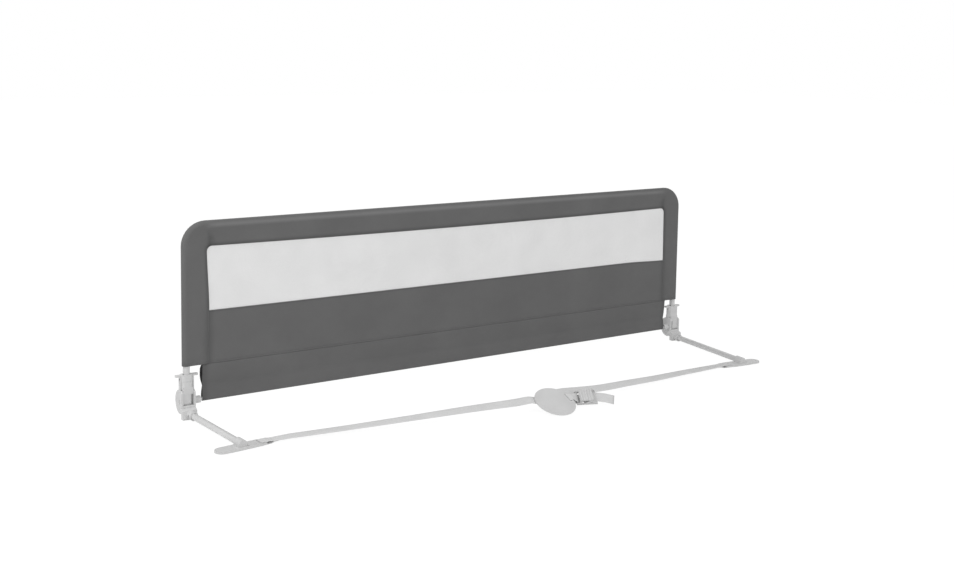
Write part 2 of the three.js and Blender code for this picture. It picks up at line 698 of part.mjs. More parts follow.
function makeKnuckle(end, group) {
  const eyeHalf = CHEEK_INNER - RUNNING_GAP;
  const shoulder = PIVOT_HEIGHT + CHEEK_RADIUS + RUNNING_GAP * 2;
  const eye = solidOf(profileAlongX(eyeProfile(), -eyeHalf, eyeHalf));
  const housing = solidOf(profileAlongZ(housingOutline(), shoulder, KNUCKLE_TOP, BEND_STEPS / 2));
  const bore = rodAlongZ(SOCKET_BORE, SOCKET_FLOOR, KNUCKLE_TOP + OVERRUN, 0, 0);
  const pinHole = rodAlongX(PIN_RADIUS + RUNNING_GAP, -eyeHalf - OVERRUN, eyeHalf + OVERRUN,
    0, PIVOT_HEIGHT);
  const groove = block(-end.side * GROOVE_INSET, -end.side * (CHEEK_INNER + OVERRUN),
    -KNUCKLE_DEPTH - OVERRUN, -KNUCKLE_DEPTH + GROOVE_DEPTH, GROOVE_BOTTOM, GROOVE_TOP);
  const screwHole = rodAlongY(BACK_SCREW_RADIUS + RUNNING_GAP, 0, KNUCKLE_DEPTH + OVERRUN,
    0, BACK_SCREW_HEIGHT, TUBE_SIDES / 2);
  const holes = joined([bore, pinHole, groove, screwHole]);
  addSolid(`knuckle_${end.label}`, eye.add(housing).subtract(holes), colours.whitePlastic, group);
}

function makeBackScrew(end, group) {
  addSolid(`post_screw_${end.label}`, rodAlongY(BACK_SCREW_RADIUS,
    TUBE_RADIUS - TUBE_WALL * 2, KNUCKLE_DEPTH - RUNNING_GAP, 0, BACK_SCREW_HEIGHT,
    TUBE_SIDES / 2), colours.brightSteel, group);
}

// Release collar: a ring on the upright tube with two wings, and fingers down to the cheeks
function makeCollar(end, group) {
  const ring = solidOf(profileAlongZ(housingOutline(), COLLAR_BOTTOM, COLLAR_TOP, BEND_STEPS / 2));
  const wings = solidOf(profileAlongZ(roundedRectangle(-WING_HALF_SPAN, WING_HALF_SPAN,
    -WING_DEPTH / 2, WING_DEPTH / 2, WING_THICKNESS), COLLAR_TOP - WING_THICKNESS, COLLAR_TOP,
    BEND_STEPS / 2));
  const wingUnderside = COLLAR_TOP - WING_THICKNESS;
  const fingers = [-1, 1].map((hand) => block(hand * FINGER_INNER, hand * FINGER_OUTER,
    -FINGER_DEPTH / 2, FINGER_DEPTH / 2, PIVOT_HEIGHT + CHEEK_RADIUS - OVERRUN, wingUnderside));
  const roots = [-1, 1].map((hand) => block(hand * CHEEK_INNER, hand * FINGER_OUTER,
    -FINGER_DEPTH / 2, FINGER_DEPTH / 2, COLLAR_BOTTOM, wingUnderside));
  const rim = rodAlongX(CHEEK_RADIUS + RUNNING_GAP, -WING_HALF_SPAN, WING_HALF_SPAN,
    0, PIVOT_HEIGHT, TUBE_SIDES * 3);
  const bore = rodAlongZ(SOCKET_BORE, PIVOT_HEIGHT, COLLAR_TOP + OVERRUN, 0, 0);
  const pinHole = rodAlongX(CROSS_PIN_RADIUS + RUNNING_GAP, -WING_HALF_SPAN, WING_HALF_SPAN,
    0, CROSS_PIN_HEIGHT, TUBE_SIDES / 2);
  const body = joined([ring, wings, ...fingers, ...roots]);
  addSolid(`release_collar_${end.label}`, body.subtract(joined([rim, bore, pinHole])),
    colours.whitePlastic, group);
}

function makeCrossPin(end, group) {
  addSolid(`cross_pin_${end.label}`, rodAlongX(CROSS_PIN_RADIUS, -CROSS_PIN_HALF, CROSS_PIN_HALF,
    0, CROSS_PIN_HEIGHT, TUBE_SIDES / 2), colours.brightSteel, group);
}

function makeStopPin(end, group) {
  const half = TUBE_RADIUS - RUNNING_GAP;
  addSolid(`spring_stop_pin_${end.label}`, rodAlongX(STOP_PIN_RADIUS, -half, half,
    0, STOP_PIN_HEIGHT, TUBE_SIDES / 2), colours.brightSteel, group);
}

// Compression spring between the cross pin and the stop pin, inside the upright tube
function makeLockSpring(end, group) {
  const low = CROSS_PIN_HEIGHT + CROSS_PIN_RADIUS + RUNNING_GAP + SPRING_WIRE;
  const high = STOP_PIN_HEIGHT - STOP_PIN_RADIUS - RUNNING_GAP - SPRING_WIRE;
  const rings = [];
  for (let step = 0; step <= SPRING_TURNS * SPRING_STEPS; step += 1) {
    const angle = (step / SPRING_STEPS) * Math.PI * 2;
    const height = low + (high - low) * step / (SPRING_TURNS * SPRING_STEPS);
    const ring = [];
    for (let side = 0; side < SPRING_SIDES; side += 1) {
      const around = (side / SPRING_SIDES) * Math.PI * 2;
      const reach = SPRING_RADIUS + SPRING_WIRE * Math.cos(around);
      ring.push(new THREE.Vector3(reach * Math.cos(angle), reach * Math.sin(angle),
        height + SPRING_WIRE * Math.sin(around)));
    }
    rings.push(ring);
  }
  addMesh(`lock_spring_${end.label}`, loft(rings), colours.brightSteel, group);
}

// Leg tube with its screw, and the foot with a rubber pad, turned together by the toe-in
const SLOT_START = FOOT_LENGTH / 2 - STRAP_SLOT_FROM_TIP;

function footBoreEnd(end) {
  return -end.reach - FOOT_SOCKET_FRONT + FOOT_WALL;
}

function makeLegTube(end, group) {
  const start = WEB_FRONT - WEB_THICKNESS - RUNNING_GAP;
  const finish = footBoreEnd(end) + RUNNING_GAP;
  const points = [new THREE.Vector3(0, finish, LEG_HEIGHT), new THREE.Vector3(0, start, LEG_HEIGHT)];
  const tangents = [new THREE.Vector3(0, 1, 0), new THREE.Vector3(0, 1, 0)];
  const tube = solidOf(tubeAlong(points, tangents, LEG_RADIUS, LEG_RADIUS - TUBE_WALL));
  const screwHole = rodAlongX(LEG_SCREW_RADIUS + RUNNING_GAP, 0, end.side * LEG_RADIUS * 2,
    LEG_SCREW_PLACE, LEG_HEIGHT, TUBE_SIDES / 2);
  addSolid(`leg_tube_${end.label}`, tube.subtract(screwHole), colours.paintedSteel, group);
}

function makeLegScrew(end, group) {
  addSolid(`leg_screw_${end.label}`, rodAlongX(LEG_SCREW_RADIUS,
    end.side * (LEG_RADIUS - TUBE_WALL * 2), end.side * LEG_SCREW_END, LEG_SCREW_PLACE,
    LEG_HEIGHT, TUBE_SIDES / 2), colours.brightSteel, group);
}

function makeFoot(end, group) {
  const inward = -end.side;
  const plate = solidOf(profileAlongZ(roundedRectangle(-FOOT_LENGTH / 2, FOOT_LENGTH / 2,
    -end.reach - FOOT_DEPTH / 2, -end.reach + FOOT_DEPTH / 2, FOOT_DEPTH / 2), FOOT_BOTTOM,
    FOOT_TOP, BEND_STEPS / 2));
  const humpBack = -end.reach + FOOT_SOCKET_BACK;
  const humpFront = -end.reach - FOOT_SOCKET_FRONT;
  const hump = rodAlongY(LEG_SOCKET, humpFront, humpBack, 0, LEG_HEIGHT)
    .add(block(-LEG_SOCKET, LEG_SOCKET, humpFront, humpBack, FOOT_BOTTOM, LEG_HEIGHT));
  const below = block(-FOOT_LENGTH, FOOT_LENGTH, -end.reach * 2, 0, -LEG_SOCKET, FOOT_BOTTOM);
  const bore = rodAlongY(LEG_BORE, footBoreEnd(end), 0, 0, LEG_HEIGHT);
  const slot = block(inward * SLOT_START, inward * (SLOT_START + STRAP_SLOT),
    -end.reach - SLOT_LENGTH / 2, -end.reach + SLOT_LENGTH / 2, -FOOT_BOTTOM, FOOT_TOP * 2);
  addSolid(`foot_${end.label}`, plate.add(hump).subtract(joined([below, slot]))
    .subtract(bore), colours.whitePlastic, group);
}

function makeFootPad(end, group) {
  addMesh(`foot_pad_${end.label}`, profileAlongZ(roundedRectangle(-PAD_LENGTH / 2, PAD_LENGTH / 2,
    -end.reach - PAD_DEPTH / 2, -end.reach + PAD_DEPTH / 2, PAD_DEPTH / 2), 0,
    FOOT_BOTTOM - RUNNING_GAP, BEND_STEPS / 2), colours.rubber, group);
}

// Frames of the anchor disc, the buckle and each foot, for the webbing that runs through them
const ALONG = new THREE.Vector3(1, 0, 0);
const ACROSS = new THREE.Vector3(0, 1, 0);
const DISC_TURN = new THREE.Euler(DISC_TILT, 0, 0);
const BUCKLE_TURN = new THREE.Euler(BUCKLE_TILT, 0, BUCKLE_YAW, 'ZYX');

function discStation(u, v, w) {
  return {
    at: new THREE.Vector3(u, v, w).applyEuler(DISC_TURN).add(DISC_CENTRE),
    across: ACROSS.clone().applyEuler(DISC_TURN),
  };
}

function buckleStation(a, c) {
  return {
    at: new THREE.Vector3(a, 0, c).applyEuler(BUCKLE_TURN).add(BUCKLE_CENTRE),
    across: ACROSS.clone().applyEuler(BUCKLE_TURN),
  };
}

function footStation(end, inset, height) {
  const turn = new THREE.Euler(0, 0, toeAngle(end));
  const at = new THREE.Vector3(-end.side * inset, -end.reach, height).applyEuler(turn);
  at.x += end.side * HALF_SPACING;
  return { at, across: ACROSS.clone().applyEuler(turn) };
}

function openStation(end, [along, outward, height, turn]) {
  return {
    at: new THREE.Vector3(along * HALF_SPACING, -end.reach - outward * (DISC_REACH - end.reach),
      height * DISC_HEIGHT),
    across: ACROSS.clone().applyAxisAngle(ALONG, turn * DISC_TILT),
  };
}

function tailStation([along, outward, height, turn]) {
  return {
    at: new THREE.Vector3(along, outward, height).multiplyScalar(TAIL_REACH).add(BUCKLE_CENTRE),
    across: ACROSS.clone().applyAxisAngle(ALONG, turn * BUCKLE_TILT),
  };
}

// Stations between two others, so a twist is spread over short steps
function eased(from, to) {
  const stations = [];
  for (let step = 1; step < TWIST_STEPS; step += 1) {
    stations.push({
      at: from.at.clone().lerp(to.at, step / TWIST_STEPS),
      across: from.across.clone().lerp(to.across, step / TWIST_STEPS).normalize(),
    });
  }
  return stations;
}

// A flat band through its stations, kept to one thickness at each turn
function ribbon(stations, closedRoute = false) {
  const count = stations.length;
  const rings = stations.map((station, place) => {
    const before = stations[closedRoute ? (place + count - 1) % count : Math.max(place - 1, 0)];
    const after = stations[closedRoute ? (place + 1) % count : Math.min(place + 1, count - 1)];
    const arriving = station.at.clone().sub(before.at).normalize();
    const leaving = after.at.clone().sub(station.at).normalize();
    const route = arriving.clone().add(leaving).normalize();
    const straight = leaving.lengthSq() > 0 ? leaving : arriving;
    const mitre = WEB_THICK / 2 / Math.max(route.dot(straight), Math.SQRT1_2);
    const across = station.across.clone();
    across.addScaledVector(route, -across.dot(route)).normalize();
    const normal = route.clone().cross(across).multiplyScalar(mitre);
    across.multiplyScalar(WEB_WIDTH / 2);
    return [
      station.at.clone().sub(across).sub(normal),
      station.at.clone().add(across).sub(normal),
      station.at.clone().add(across).add(normal),
      station.at.clone().sub(across).add(normal),
    ];
  });
  return loft(rings, closedRoute, true);
}

// Webbing round the bar at a foot: under the plate, up through the slot and back over it
const WEB_LIFT = WEB_THICK / 2 + RUNNING_GAP;
const WEB_PITCH = WEB_THICK + RUNNING_GAP;

function footLoop(end) {
  const middle = SLOT_START + STRAP_SLOT / 2;
  const tip = FOOT_LENGTH / 2;
  const under = FOOT_BOTTOM - WEB_LIFT;
  const over = FOOT_TOP + WEB_LIFT;
  return [
    footStation(end, tip + WEB_WIDTH, under + WEB_PITCH),
    footStation(end, tip + OVERRUN, under),
    footStation(end, middle, under),
    footStation(end, middle, over),
    footStation(end, tip + SEAM_OVERLAP, over),
    footStation(end, tip + WEB_WIDTH / 2, over - WEB_PITCH),
  ];
}

// Link band: round the rim of the disc, through its slot and round the bar of the buckle
const BAR_TURN = BAR_RADIUS + WEB_LIFT;
const RIM_TURN = DISC_RADIUS + RUNNING_GAP * 2;

function makeLink() {
  const over = discStation(RIM_TURN, LINK_SLOT.y, DISC_THICKNESS + WEB_LIFT);
  const under = discStation(RIM_TURN, LINK_SLOT.y, -WEB_LIFT);
  const turn = [];
  for (let step = 0; step <= BAR_STEPS; step += 1) {
    const angle = Math.PI / 2 - LINK_LEAN - (step / BAR_STEPS) * Math.PI;
    turn.push(buckleStation(BAR_PLACE + BAR_TURN * Math.cos(angle),
      BAR_HEIGHT + BAR_TURN * Math.sin(angle)));
  }
  const stations = [
    discStation(LINK_SLOT.x, LINK_SLOT.y, -WEB_LIFT),
    discStation(LINK_SLOT.x, LINK_SLOT.y, DISC_THICKNESS + WEB_LIFT),
    over, ...eased(over, turn[0]), ...turn, ...eased(turn[BAR_STEPS], under), under,
  ];
  addMesh('buckle_link', ribbon(stations, true), colours.webbing);
}

// Left webbing: from its foot under the disc, under the buckle's bar and out under the cam
function makeLeftStrap() {
  const under = BAR_HEIGHT - BAR_TURN - WEB_PITCH - STRAP_SLACK;
  const over = BASE_THICKNESS + WEB_LIFT;
  const rim = discStation(RIM_TURN, LINK_SLOT.y, -WEB_LIFT - WEB_PITCH - STRAP_SLACK);
  const bar = buckleStation(BAR_PLACE - RUNNING_GAP, under);
  const stations = [
    ...footLoop(ENDS[0]),
    ...LEFT_ROUTE_SHARES.map((row) => openStation(ENDS[0], row)),
    discStation(-DISC_RADIUS - STRAP_LEAD, LEFT_STAPLE_A.y + STRAP_RISE, -WEB_LIFT),
    discStation(LEFT_STAPLE_A.x, LEFT_STAPLE_A.y, -STAPLE_CLEARANCE / 2),
    discStation(LEFT_STAPLE_B.x, LEFT_STAPLE_B.y, -STAPLE_CLEARANCE + WEB_LIFT),
    rim, ...eased(rim, bar), bar,
    buckleStation(BAR_PLACE + BAR_TURN + WEB_LIFT, under),
    buckleStation(BASE_START - WEB_PITCH, over),
    buckleStation(BASE_END + BASE_THICKNESS, over),
    ...TAIL_SHARES.map(tailStation),
  ];
  addMesh('strap_left', ribbon(stations), colours.webbing);
}

// Right webbing: from its foot to a sewn loop round a staple of the disc
function makeRightStrap() {
  const inside = -STAPLE_CLEARANCE / 2;
  const outside = -STAPLE_CLEARANCE - STAPLE_BAR - WEB_LIFT;
  const start = RIGHT_STAPLE.x - RIGHT_STAPLE_HALF - WEB_LIFT;
  const finish = RIGHT_STAPLE.x + RIGHT_STAPLE_HALF + WEB_LIFT;
  const stations = [
    ...footLoop(ENDS[1]),
    ...RIGHT_ROUTE_SHARES.map((row) => openStation(ENDS[1], row)),
    discStation(DISC_RADIUS, RIGHT_STAPLE.y, inside),
    discStation(start, RIGHT_STAPLE.y, inside),
    discStation(start, RIGHT_STAPLE.y, outside),
    discStation(finish, RIGHT_STAPLE.y, outside),
    discStation(finish + STRAP_LEAD, RIGHT_STAPLE.y, inside - WEB_PITCH),
    discStation(finish + WEB_WIDTH, RIGHT_STAPLE.y, inside - WEB_PITCH),
  ];
  addMesh('strap_right', ribbon(stations), colours.webbing);
}

// Anchor disc with the staples under it that hold the webbing, in its own tilted frame
function discStaple(place, inner, outer, half) {
  const low = -STAPLE_CLEARANCE - STAPLE_BAR;
  const bridge = block(place.x - half, place.x + half, place.y - outer, place.y + outer,
    low, DISC_EDGE);
  const opening = block(place.x - half * 2, place.x + half * 2, place.y - inner, place.y + inner,
    -STAPLE_CLEARANCE, DISC_EDGE * 2);
  return bridge.subtract(opening);
}

function makeDisc(group) {
  const outline = new THREE.Shape();
  outline.absarc(0, 0, DISC_RADIUS - DISC_EDGE, 0, Math.PI * 2, false);
  const rounded = new THREE.ExtrudeGeometry(outline, {
    depth: DISC_THICKNESS - DISC_EDGE * 2,
    bevelEnabled: true,
    bevelThickness: DISC_EDGE,
    bevelSize: DISC_EDGE,
    bevelSegments: 2,
    curveSegments: TUBE_SIDES,
  });
  rounded.translate(0, 0, DISC_EDGE);
  const slot = block(LINK_SLOT.x - LINK_SLOT_WIDTH / 2, LINK_SLOT.x + LINK_SLOT_WIDTH / 2,
    LINK_SLOT.y - SLOT_LENGTH / 2, LINK_SLOT.y + SLOT_LENGTH / 2, -DISC_THICKNESS,
    DISC_THICKNESS * 2);
  const body = joined([
    solidOf(rounded).subtract(slot),
    discStaple(LEFT_STAPLE_A, LEFT_STAPLE_INNER, LEFT_STAPLE_OUTER, LEFT_STAPLE_HALF),
    discStaple(LEFT_STAPLE_B, LEFT_STAPLE_INNER, LEFT_STAPLE_OUTER, LEFT_STAPLE_HALF),
    discStaple(RIGHT_STAPLE, RIGHT_STAPLE_INNER, RIGHT_STAPLE_OUTER, RIGHT_STAPLE_HALF),
  ]);
  addSolid('anchor_disc', body, colours.whitePlastic, group);
}

// Buckle frame: a bar for the link, a base plate under the webbing and two cheeks for the cam
function buckleCheekProfile() {
  const shape = new THREE.Shape();
  const low = BAR_HEIGHT - BAR_RADIUS - RUNNING_GAP;
  shape.moveTo(CHEEK_BACK, low);
  shape.lineTo(BASE_END, low);
  shape.lineTo(BASE_END, CHEEK_LOW);
  shape.lineTo(CAM_PLACE + CAM_RADIUS, CHEEK_HIGH);
  shape.lineTo(CAM_PLACE - CAM_RADIUS, CHEEK_HIGH);
  shape.lineTo(BASE_START, CHEEK_LOW);
  shape.lineTo(CHEEK_BACK, CHEEK_LOW);
  return shape;
}

function makeBuckleFrame(group) {
  const cheeks = [-1, 1].map((hand) => solidOf(profileAlongY(buckleCheekProfile(),
    hand * (FRAME_HALF_WIDTH - FRAME_CHEEK), hand * FRAME_HALF_WIDTH)));
  const base = block(BASE_START, BASE_END, -FRAME_HALF_WIDTH, FRAME_HALF_WIDTH, 0, BASE_THICKNESS);
  const lip = rodAlongY(BASE_THICKNESS, -FRAME_HALF_WIDTH, FRAME_HALF_WIDTH, BASE_END, 0);
  const bar = rodAlongY(BAR_RADIUS, -FRAME_HALF_WIDTH, FRAME_HALF_WIDTH, BAR_PLACE, BAR_HEIGHT);
  const pinHole = rodAlongY(LEVER_PIN_RADIUS + RUNNING_GAP, -FRAME_HALF_WIDTH * 2,
    FRAME_HALF_WIDTH * 2, CAM_PLACE, CAM_HEIGHT);
  addSolid('buckle_frame', joined([...cheeks, base, lip, bar]).subtract(pinHole),
    colours.whitePlastic, group);
}

function makeLeverPin(group) {
  addSolid('lever_pin', rodAlongY(LEVER_PIN_RADIUS, -FRAME_HALF_WIDTH, FRAME_HALF_WIDTH,
    CAM_PLACE, CAM_HEIGHT), colours.brightSteel, group);
}

// Cam lever: a toothed cam over the webbing under a thumb plate with three round ribs
function toothProfile() {
  const shape = new THREE.Shape();
  const count = TOOTH_COUNT * 2;
  const first = -Math.PI / 2 - TOOTH_SPREAD / 2;
  shape.moveTo(CAM_PLACE, CAM_HEIGHT);
  for (let place = 0; place <= count; place += 1) {
    const reach = place % 2 === 0 ? CAM_RADIUS : TOOTH_RADIUS;
    const angle = first + TOOTH_SPREAD * place / count;
    shape.lineTo(CAM_PLACE + reach * Math.cos(angle), CAM_HEIGHT + reach * Math.sin(angle));
  }
  return shape;
}

function makeCamLever(group) {
  const half = CAM_HALF_WIDTH;
  const plate = solidOf(profileAlongY(roundedRectangle(LEVER_BACK, LEVER_FRONT, LEVER_BOTTOM,
    LEVER_BOTTOM + LEVER_THICKNESS, DISC_EDGE), -half, half, 2));
  const ribs = [];
  for (let rib = 0; rib < RIB_COUNT; rib += 1) {
    ribs.push(rodAlongY(RIB_RADIUS, -half, half, RIB_FIRST + rib * RIB_PITCH, RIB_HEIGHT));
  }
  const cam = rodAlongY(CAM_RADIUS, -half, half, CAM_PLACE, CAM_HEIGHT);
  const teeth = solidOf(profileAlongY(toothProfile(), -WEB_WIDTH / 2, WEB_WIDTH / 2));
  const bore = rodAlongY(LEVER_PIN_RADIUS + RUNNING_GAP, -half * 2, half * 2,
    CAM_PLACE, CAM_HEIGHT);
  addSolid('cam_lever', joined([plate, ...ribs, cam, teeth]).subtract(bore),
    colours.whitePlastic, group);
}

// The whole rail
makeTopTube();
makeCover();
makeWindowNet();
makeFlap();
makeCrossTube();
for (const end of ENDS) {
  const hinge = hingeGroup(end);
  const leg = new THREE.Group();
  leg.rotation.z = toeAngle(end);
  hinge.add(leg);
  makePostTube(end, hinge);
  makeJoiner(end);
  makeKnuckle(end, hinge);
  makeBackScrew(end, hinge);
  makeStopPin(end, hinge);
  makeLockSpring(end, hinge);
  makeCollar(end, hinge);
  makeCrossPin(end, hinge);
  makeBracket(end, hinge);
  makePivotPin(end, hinge);
  makeBushing(end, hinge);
  makeLegTube(end, leg);
  makeLegScrew(end, leg);
  makeFoot(end, leg);
  makeFootPad(end, leg);
}
makeLeftStrap();
makeRightStrap();
makeLink();

const disc = new THREE.Group();
disc.rotation.copy(DISC_TURN);
disc.position.copy(DISC_CENTRE);
model.add(disc);
makeDisc(disc);

const buckle = new THREE.Group();
buckle.rotation.copy(BUCKLE_TURN);
buckle.position.copy(BUCKLE_CENTRE);
model.add(buckle);
makeBuckleFrame(buckle);
makeLeverPin(buckle);
makeCamLever(buckle);

export default assembly;
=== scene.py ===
import json
import math

import bmesh
import bpy
from mathutils import Matrix, Vector, noise


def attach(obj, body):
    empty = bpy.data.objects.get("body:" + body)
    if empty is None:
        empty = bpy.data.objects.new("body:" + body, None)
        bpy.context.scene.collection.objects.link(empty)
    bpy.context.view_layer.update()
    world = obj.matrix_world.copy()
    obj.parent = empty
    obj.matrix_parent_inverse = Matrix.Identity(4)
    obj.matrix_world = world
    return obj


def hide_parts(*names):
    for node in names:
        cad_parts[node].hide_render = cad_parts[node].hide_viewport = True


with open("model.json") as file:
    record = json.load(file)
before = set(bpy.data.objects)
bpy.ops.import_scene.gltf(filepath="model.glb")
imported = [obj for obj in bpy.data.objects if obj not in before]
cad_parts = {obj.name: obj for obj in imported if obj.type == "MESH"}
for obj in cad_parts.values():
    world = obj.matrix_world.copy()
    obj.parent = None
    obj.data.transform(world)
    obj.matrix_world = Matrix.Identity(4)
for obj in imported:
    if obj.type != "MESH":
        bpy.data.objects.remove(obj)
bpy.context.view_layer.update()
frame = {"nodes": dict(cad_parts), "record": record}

# Places are in millimetres from the foot of the rail's middle, and at() brings them to the
# frame, which is in metres and has its origin SHIFT_Y in front of the rail.
MM = 0.001
SHIFT_Y = 0.204856
HALF_SPACING = 743.5

# ---------------------------------------------------------------- camera
CAM_AZ, CAM_PITCH, CAM_ROLL = math.radians(32.891), math.radians(5.51), math.radians(0.903)
CAM_PLACE = Vector((-1.6496, -2.6194 + SHIFT_Y, 0.8784))
CAM_FOCUS_PX, CAM_ROW = 1195.5, 155.0
PHOTO_WIDTH, PHOTO_HEIGHT, SENSOR = 954, 584, 36


def make_camera():
    forward = Vector((math.sin(CAM_AZ) * math.cos(CAM_PITCH),
                      math.cos(CAM_AZ) * math.cos(CAM_PITCH), -math.sin(CAM_PITCH)))
    right = Vector((math.cos(CAM_AZ), -math.sin(CAM_AZ), 0))
    up = right.cross(forward)
    cos_r, sin_r = math.cos(CAM_ROLL), math.sin(CAM_ROLL)
    right, up = cos_r * right + sin_r * up, -sin_r * right + cos_r * up
    data = bpy.data.cameras.new("camera")
    data.sensor_fit = "HORIZONTAL"
    data.sensor_width = SENSOR
    data.lens = CAM_FOCUS_PX * SENSOR / PHOTO_WIDTH
    data.shift_y = -(PHOTO_HEIGHT / 2 - CAM_ROW) / PHOTO_WIDTH
    data.clip_end = 100
    camera = bpy.data.objects.new("camera", data)
    bpy.context.scene.collection.objects.link(camera)
    turn = Matrix((right, up, -forward)).transposed()
    camera.matrix_world = Matrix.Translation(CAM_PLACE) @ turn.to_4x4()
    bpy.context.scene.camera = camera


make_camera()


# ---------------------------------------------------------------- node helpers
NOISE_LOW, NOISE_HIGH, NOISE_ROUGHNESS = 0.25, 0.75, 0.55


class Nodes:
    """A node tree and short ways to add to it."""

    def __init__(self, tree):
        self.tree = tree
        self.tree.nodes.clear()

    def add(self, kind, **values):
        node = self.tree.nodes.new(kind)
        for key, value in values.items():
            setattr(node, key, value)
        return node

    def link(self, source, target):
        self.tree.links.new(source, target)

    def feed(self, node, slot, value):
        if isinstance(value, bpy.types.NodeSocket):
            self.link(value, node.inputs[slot])
        else:
            node.inputs[slot].default_value = value

    def math(self, operation, first, second=0.0, clamp=False):
        node = self.add("ShaderNodeMath", operation=operation, use_clamp=clamp)
        self.feed(node, 0, first)
        self.feed(node, 1, second)
        return node.outputs[0]

    def scale_add(self, value, factor, plus):
        node = self.add("ShaderNodeMath", operation="MULTIPLY_ADD")
        for slot, part in enumerate((value, factor, plus)):
            self.feed(node, slot, part)
        return node.outputs[0]

    def noise(self, coordinates, scale, detail):
        node = self.add("ShaderNodeTexNoise")
        self.feed(node, "Vector", coordinates)
        self.feed(node, "Scale", scale)
        self.feed(node, "Detail", detail)
        self.feed(node, "Roughness", NOISE_ROUGHNESS)
        return node.outputs["Fac"]

    def span(self, value, low, high):
        """A noise value spread from low to high."""
        node = self.add("ShaderNodeMapRange")
        self.feed(node, 0, value)
        node.inputs["From Min"].default_value = NOISE_LOW
        node.inputs["From Max"].default_value = NOISE_HIGH
        node.inputs["To Min"].default_value = low
        node.inputs["To Max"].default_value = high
        return node.outputs[0]

    def ramp(self, value, dark, light, low=0.3, high=0.7):
        node = self.add("ShaderNodeValToRGB")
        self.feed(node, 0, value)
        node.color_ramp.elements[0].position = low
        node.color_ramp.elements[0].color = linear(dark)
        node.color_ramp.elements[1].position = high
        node.color_ramp.elements[1].color = linear(light)
        return node.outputs[0]

    def mix(self, share, first, second, blend="MIX"):
        node = self.add("ShaderNodeMix", data_type="RGBA", blend_type=blend)
        self.feed(node, 0, share)
        self.feed(node, 6, first)
        self.feed(node, 7, second)
        return node.outputs[2]

    def seen_directly(self):
        """1 for rays from the eye, by way of mirrors and clear pieces too, and 0 for the rest."""
        rays = self.add("ShaderNodeLightPath").outputs
        near = self.math("MAXIMUM", rays["Is Camera Ray"], rays["Is Glossy Ray"])
        return self.math("MAXIMUM", near, rays["Is Transmission Ray"])


class Shader(Nodes):
    """A material with one surface."""

    def __init__(self, name):
        self.material = bpy.data.materials.new(name)
        self.material.use_nodes = True
        super().__init__(self.material.node_tree)
        self.output = self.add("ShaderNodeOutputMaterial")
        self.surface = self.add("ShaderNodeBsdfPrincipled")
        self.link(self.surface.outputs[0], self.output.inputs["Surface"])

    def bump(self, height, strength, distance):
        node = self.add("ShaderNodeBump")
        node.inputs["Strength"].default_value = strength
        node.inputs["Distance"].default_value = distance
        self.link(height, node.inputs["Height"])
        self.link(node.outputs[0], self.surface.inputs["Normal"])


def linear(grey):
    """An sRGB grey from 0 to 255 as a colour of linear light."""
    share = grey / 255
    level = share / 12.92 if share <= 0.04045 else ((share + 0.055) / 1.055) ** 2.4
    return level, level, level, 1


# ---------------------------------------------------------------- materials
WEAVE_PITCH, NET_CELL, TWILL_BAND, TWILL_PITCH = 0.0011, 0.0013, 0.00315, 0.0016
# Cloth greys: the first darkens sewn seams and painted shade, the second is a painted highlight.
SEAM_AND_SHADE_GREY, HIGHLIGHT_GREY = 66, 190


def moulded_plastic(name, dark, light, roughness):
    s = Shader(name)
    place = s.add("ShaderNodeTexCoord").outputs["Object"]
    broad = s.noise(place, 18, 2)
    fine = s.noise(place, 1400, 2)
    s.feed(s.surface, "Base Color", s.ramp(broad, dark, light))
    uneven = s.span(s.noise(place, 70, 3), roughness - 0.06, roughness + 0.08)
    s.feed(s.surface, "Roughness", uneven)
    s.surface.inputs["Specular IOR Level"].default_value = 0.4
    s.bump(fine, 0.08, 0.0001)
    return s.material


def painted_steel(name, dark, light):
    s = Shader(name)
    place = s.add("ShaderNodeTexCoord").outputs["Object"]
    s.feed(s.surface, "Base Color", s.ramp(s.noise(place, 25, 2), dark, light))
    s.feed(s.surface, "Roughness", s.span(s.noise(place, 160, 3), 0.3, 0.44))
    s.surface.inputs["Coat Weight"].default_value = 0.25
    s.surface.inputs["Coat Roughness"].default_value = 0.2
    s.bump(s.noise(place, 420, 2), 0.08, 0.0004)
    return s.material


def bright_steel(name):
    s = Shader(name)
    place = s.add("ShaderNodeTexCoord").outputs["Object"]
    s.surface.inputs["Metallic"].default_value = 1.0
    s.feed(s.surface, "Base Color", s.ramp(s.noise(place, 300, 3), 165, 198))
    s.feed(s.surface, "Roughness", s.span(s.noise(place, 900, 3), 0.24, 0.42))
    s.bump(s.noise(place, 1500, 2), 0.1, 0.0002)
    return s.material


def soft_rubber(name):
    s = Shader(name)
    place = s.add("ShaderNodeTexCoord").outputs["Object"]
    s.feed(s.surface, "Base Color", s.ramp(s.noise(place, 40, 3), 150, 172))
    s.feed(s.surface, "Roughness", s.span(s.noise(place, 200, 3), 0.7, 0.88))
    s.bump(s.noise(place, 900, 3), 0.3, 0.0004)
    return s.material


def thread_weave(s, pitch):
    """UVs in metres, and the height of a plain weave over them from 0 to 1."""
    uv = s.add("ShaderNodeUVMap")
    split = s.add("ShaderNodeSeparateXYZ")
    s.link(uv.outputs[0], split.inputs[0])
    across = s.math("SINE", s.math("MULTIPLY", split.outputs[0], math.tau / pitch))
    along = s.math("SINE", s.math("MULTIPLY", split.outputs[1], math.tau / pitch))
    return uv.outputs[0], s.scale_add(s.math("MULTIPLY", across, along), 0.5, 0.5)


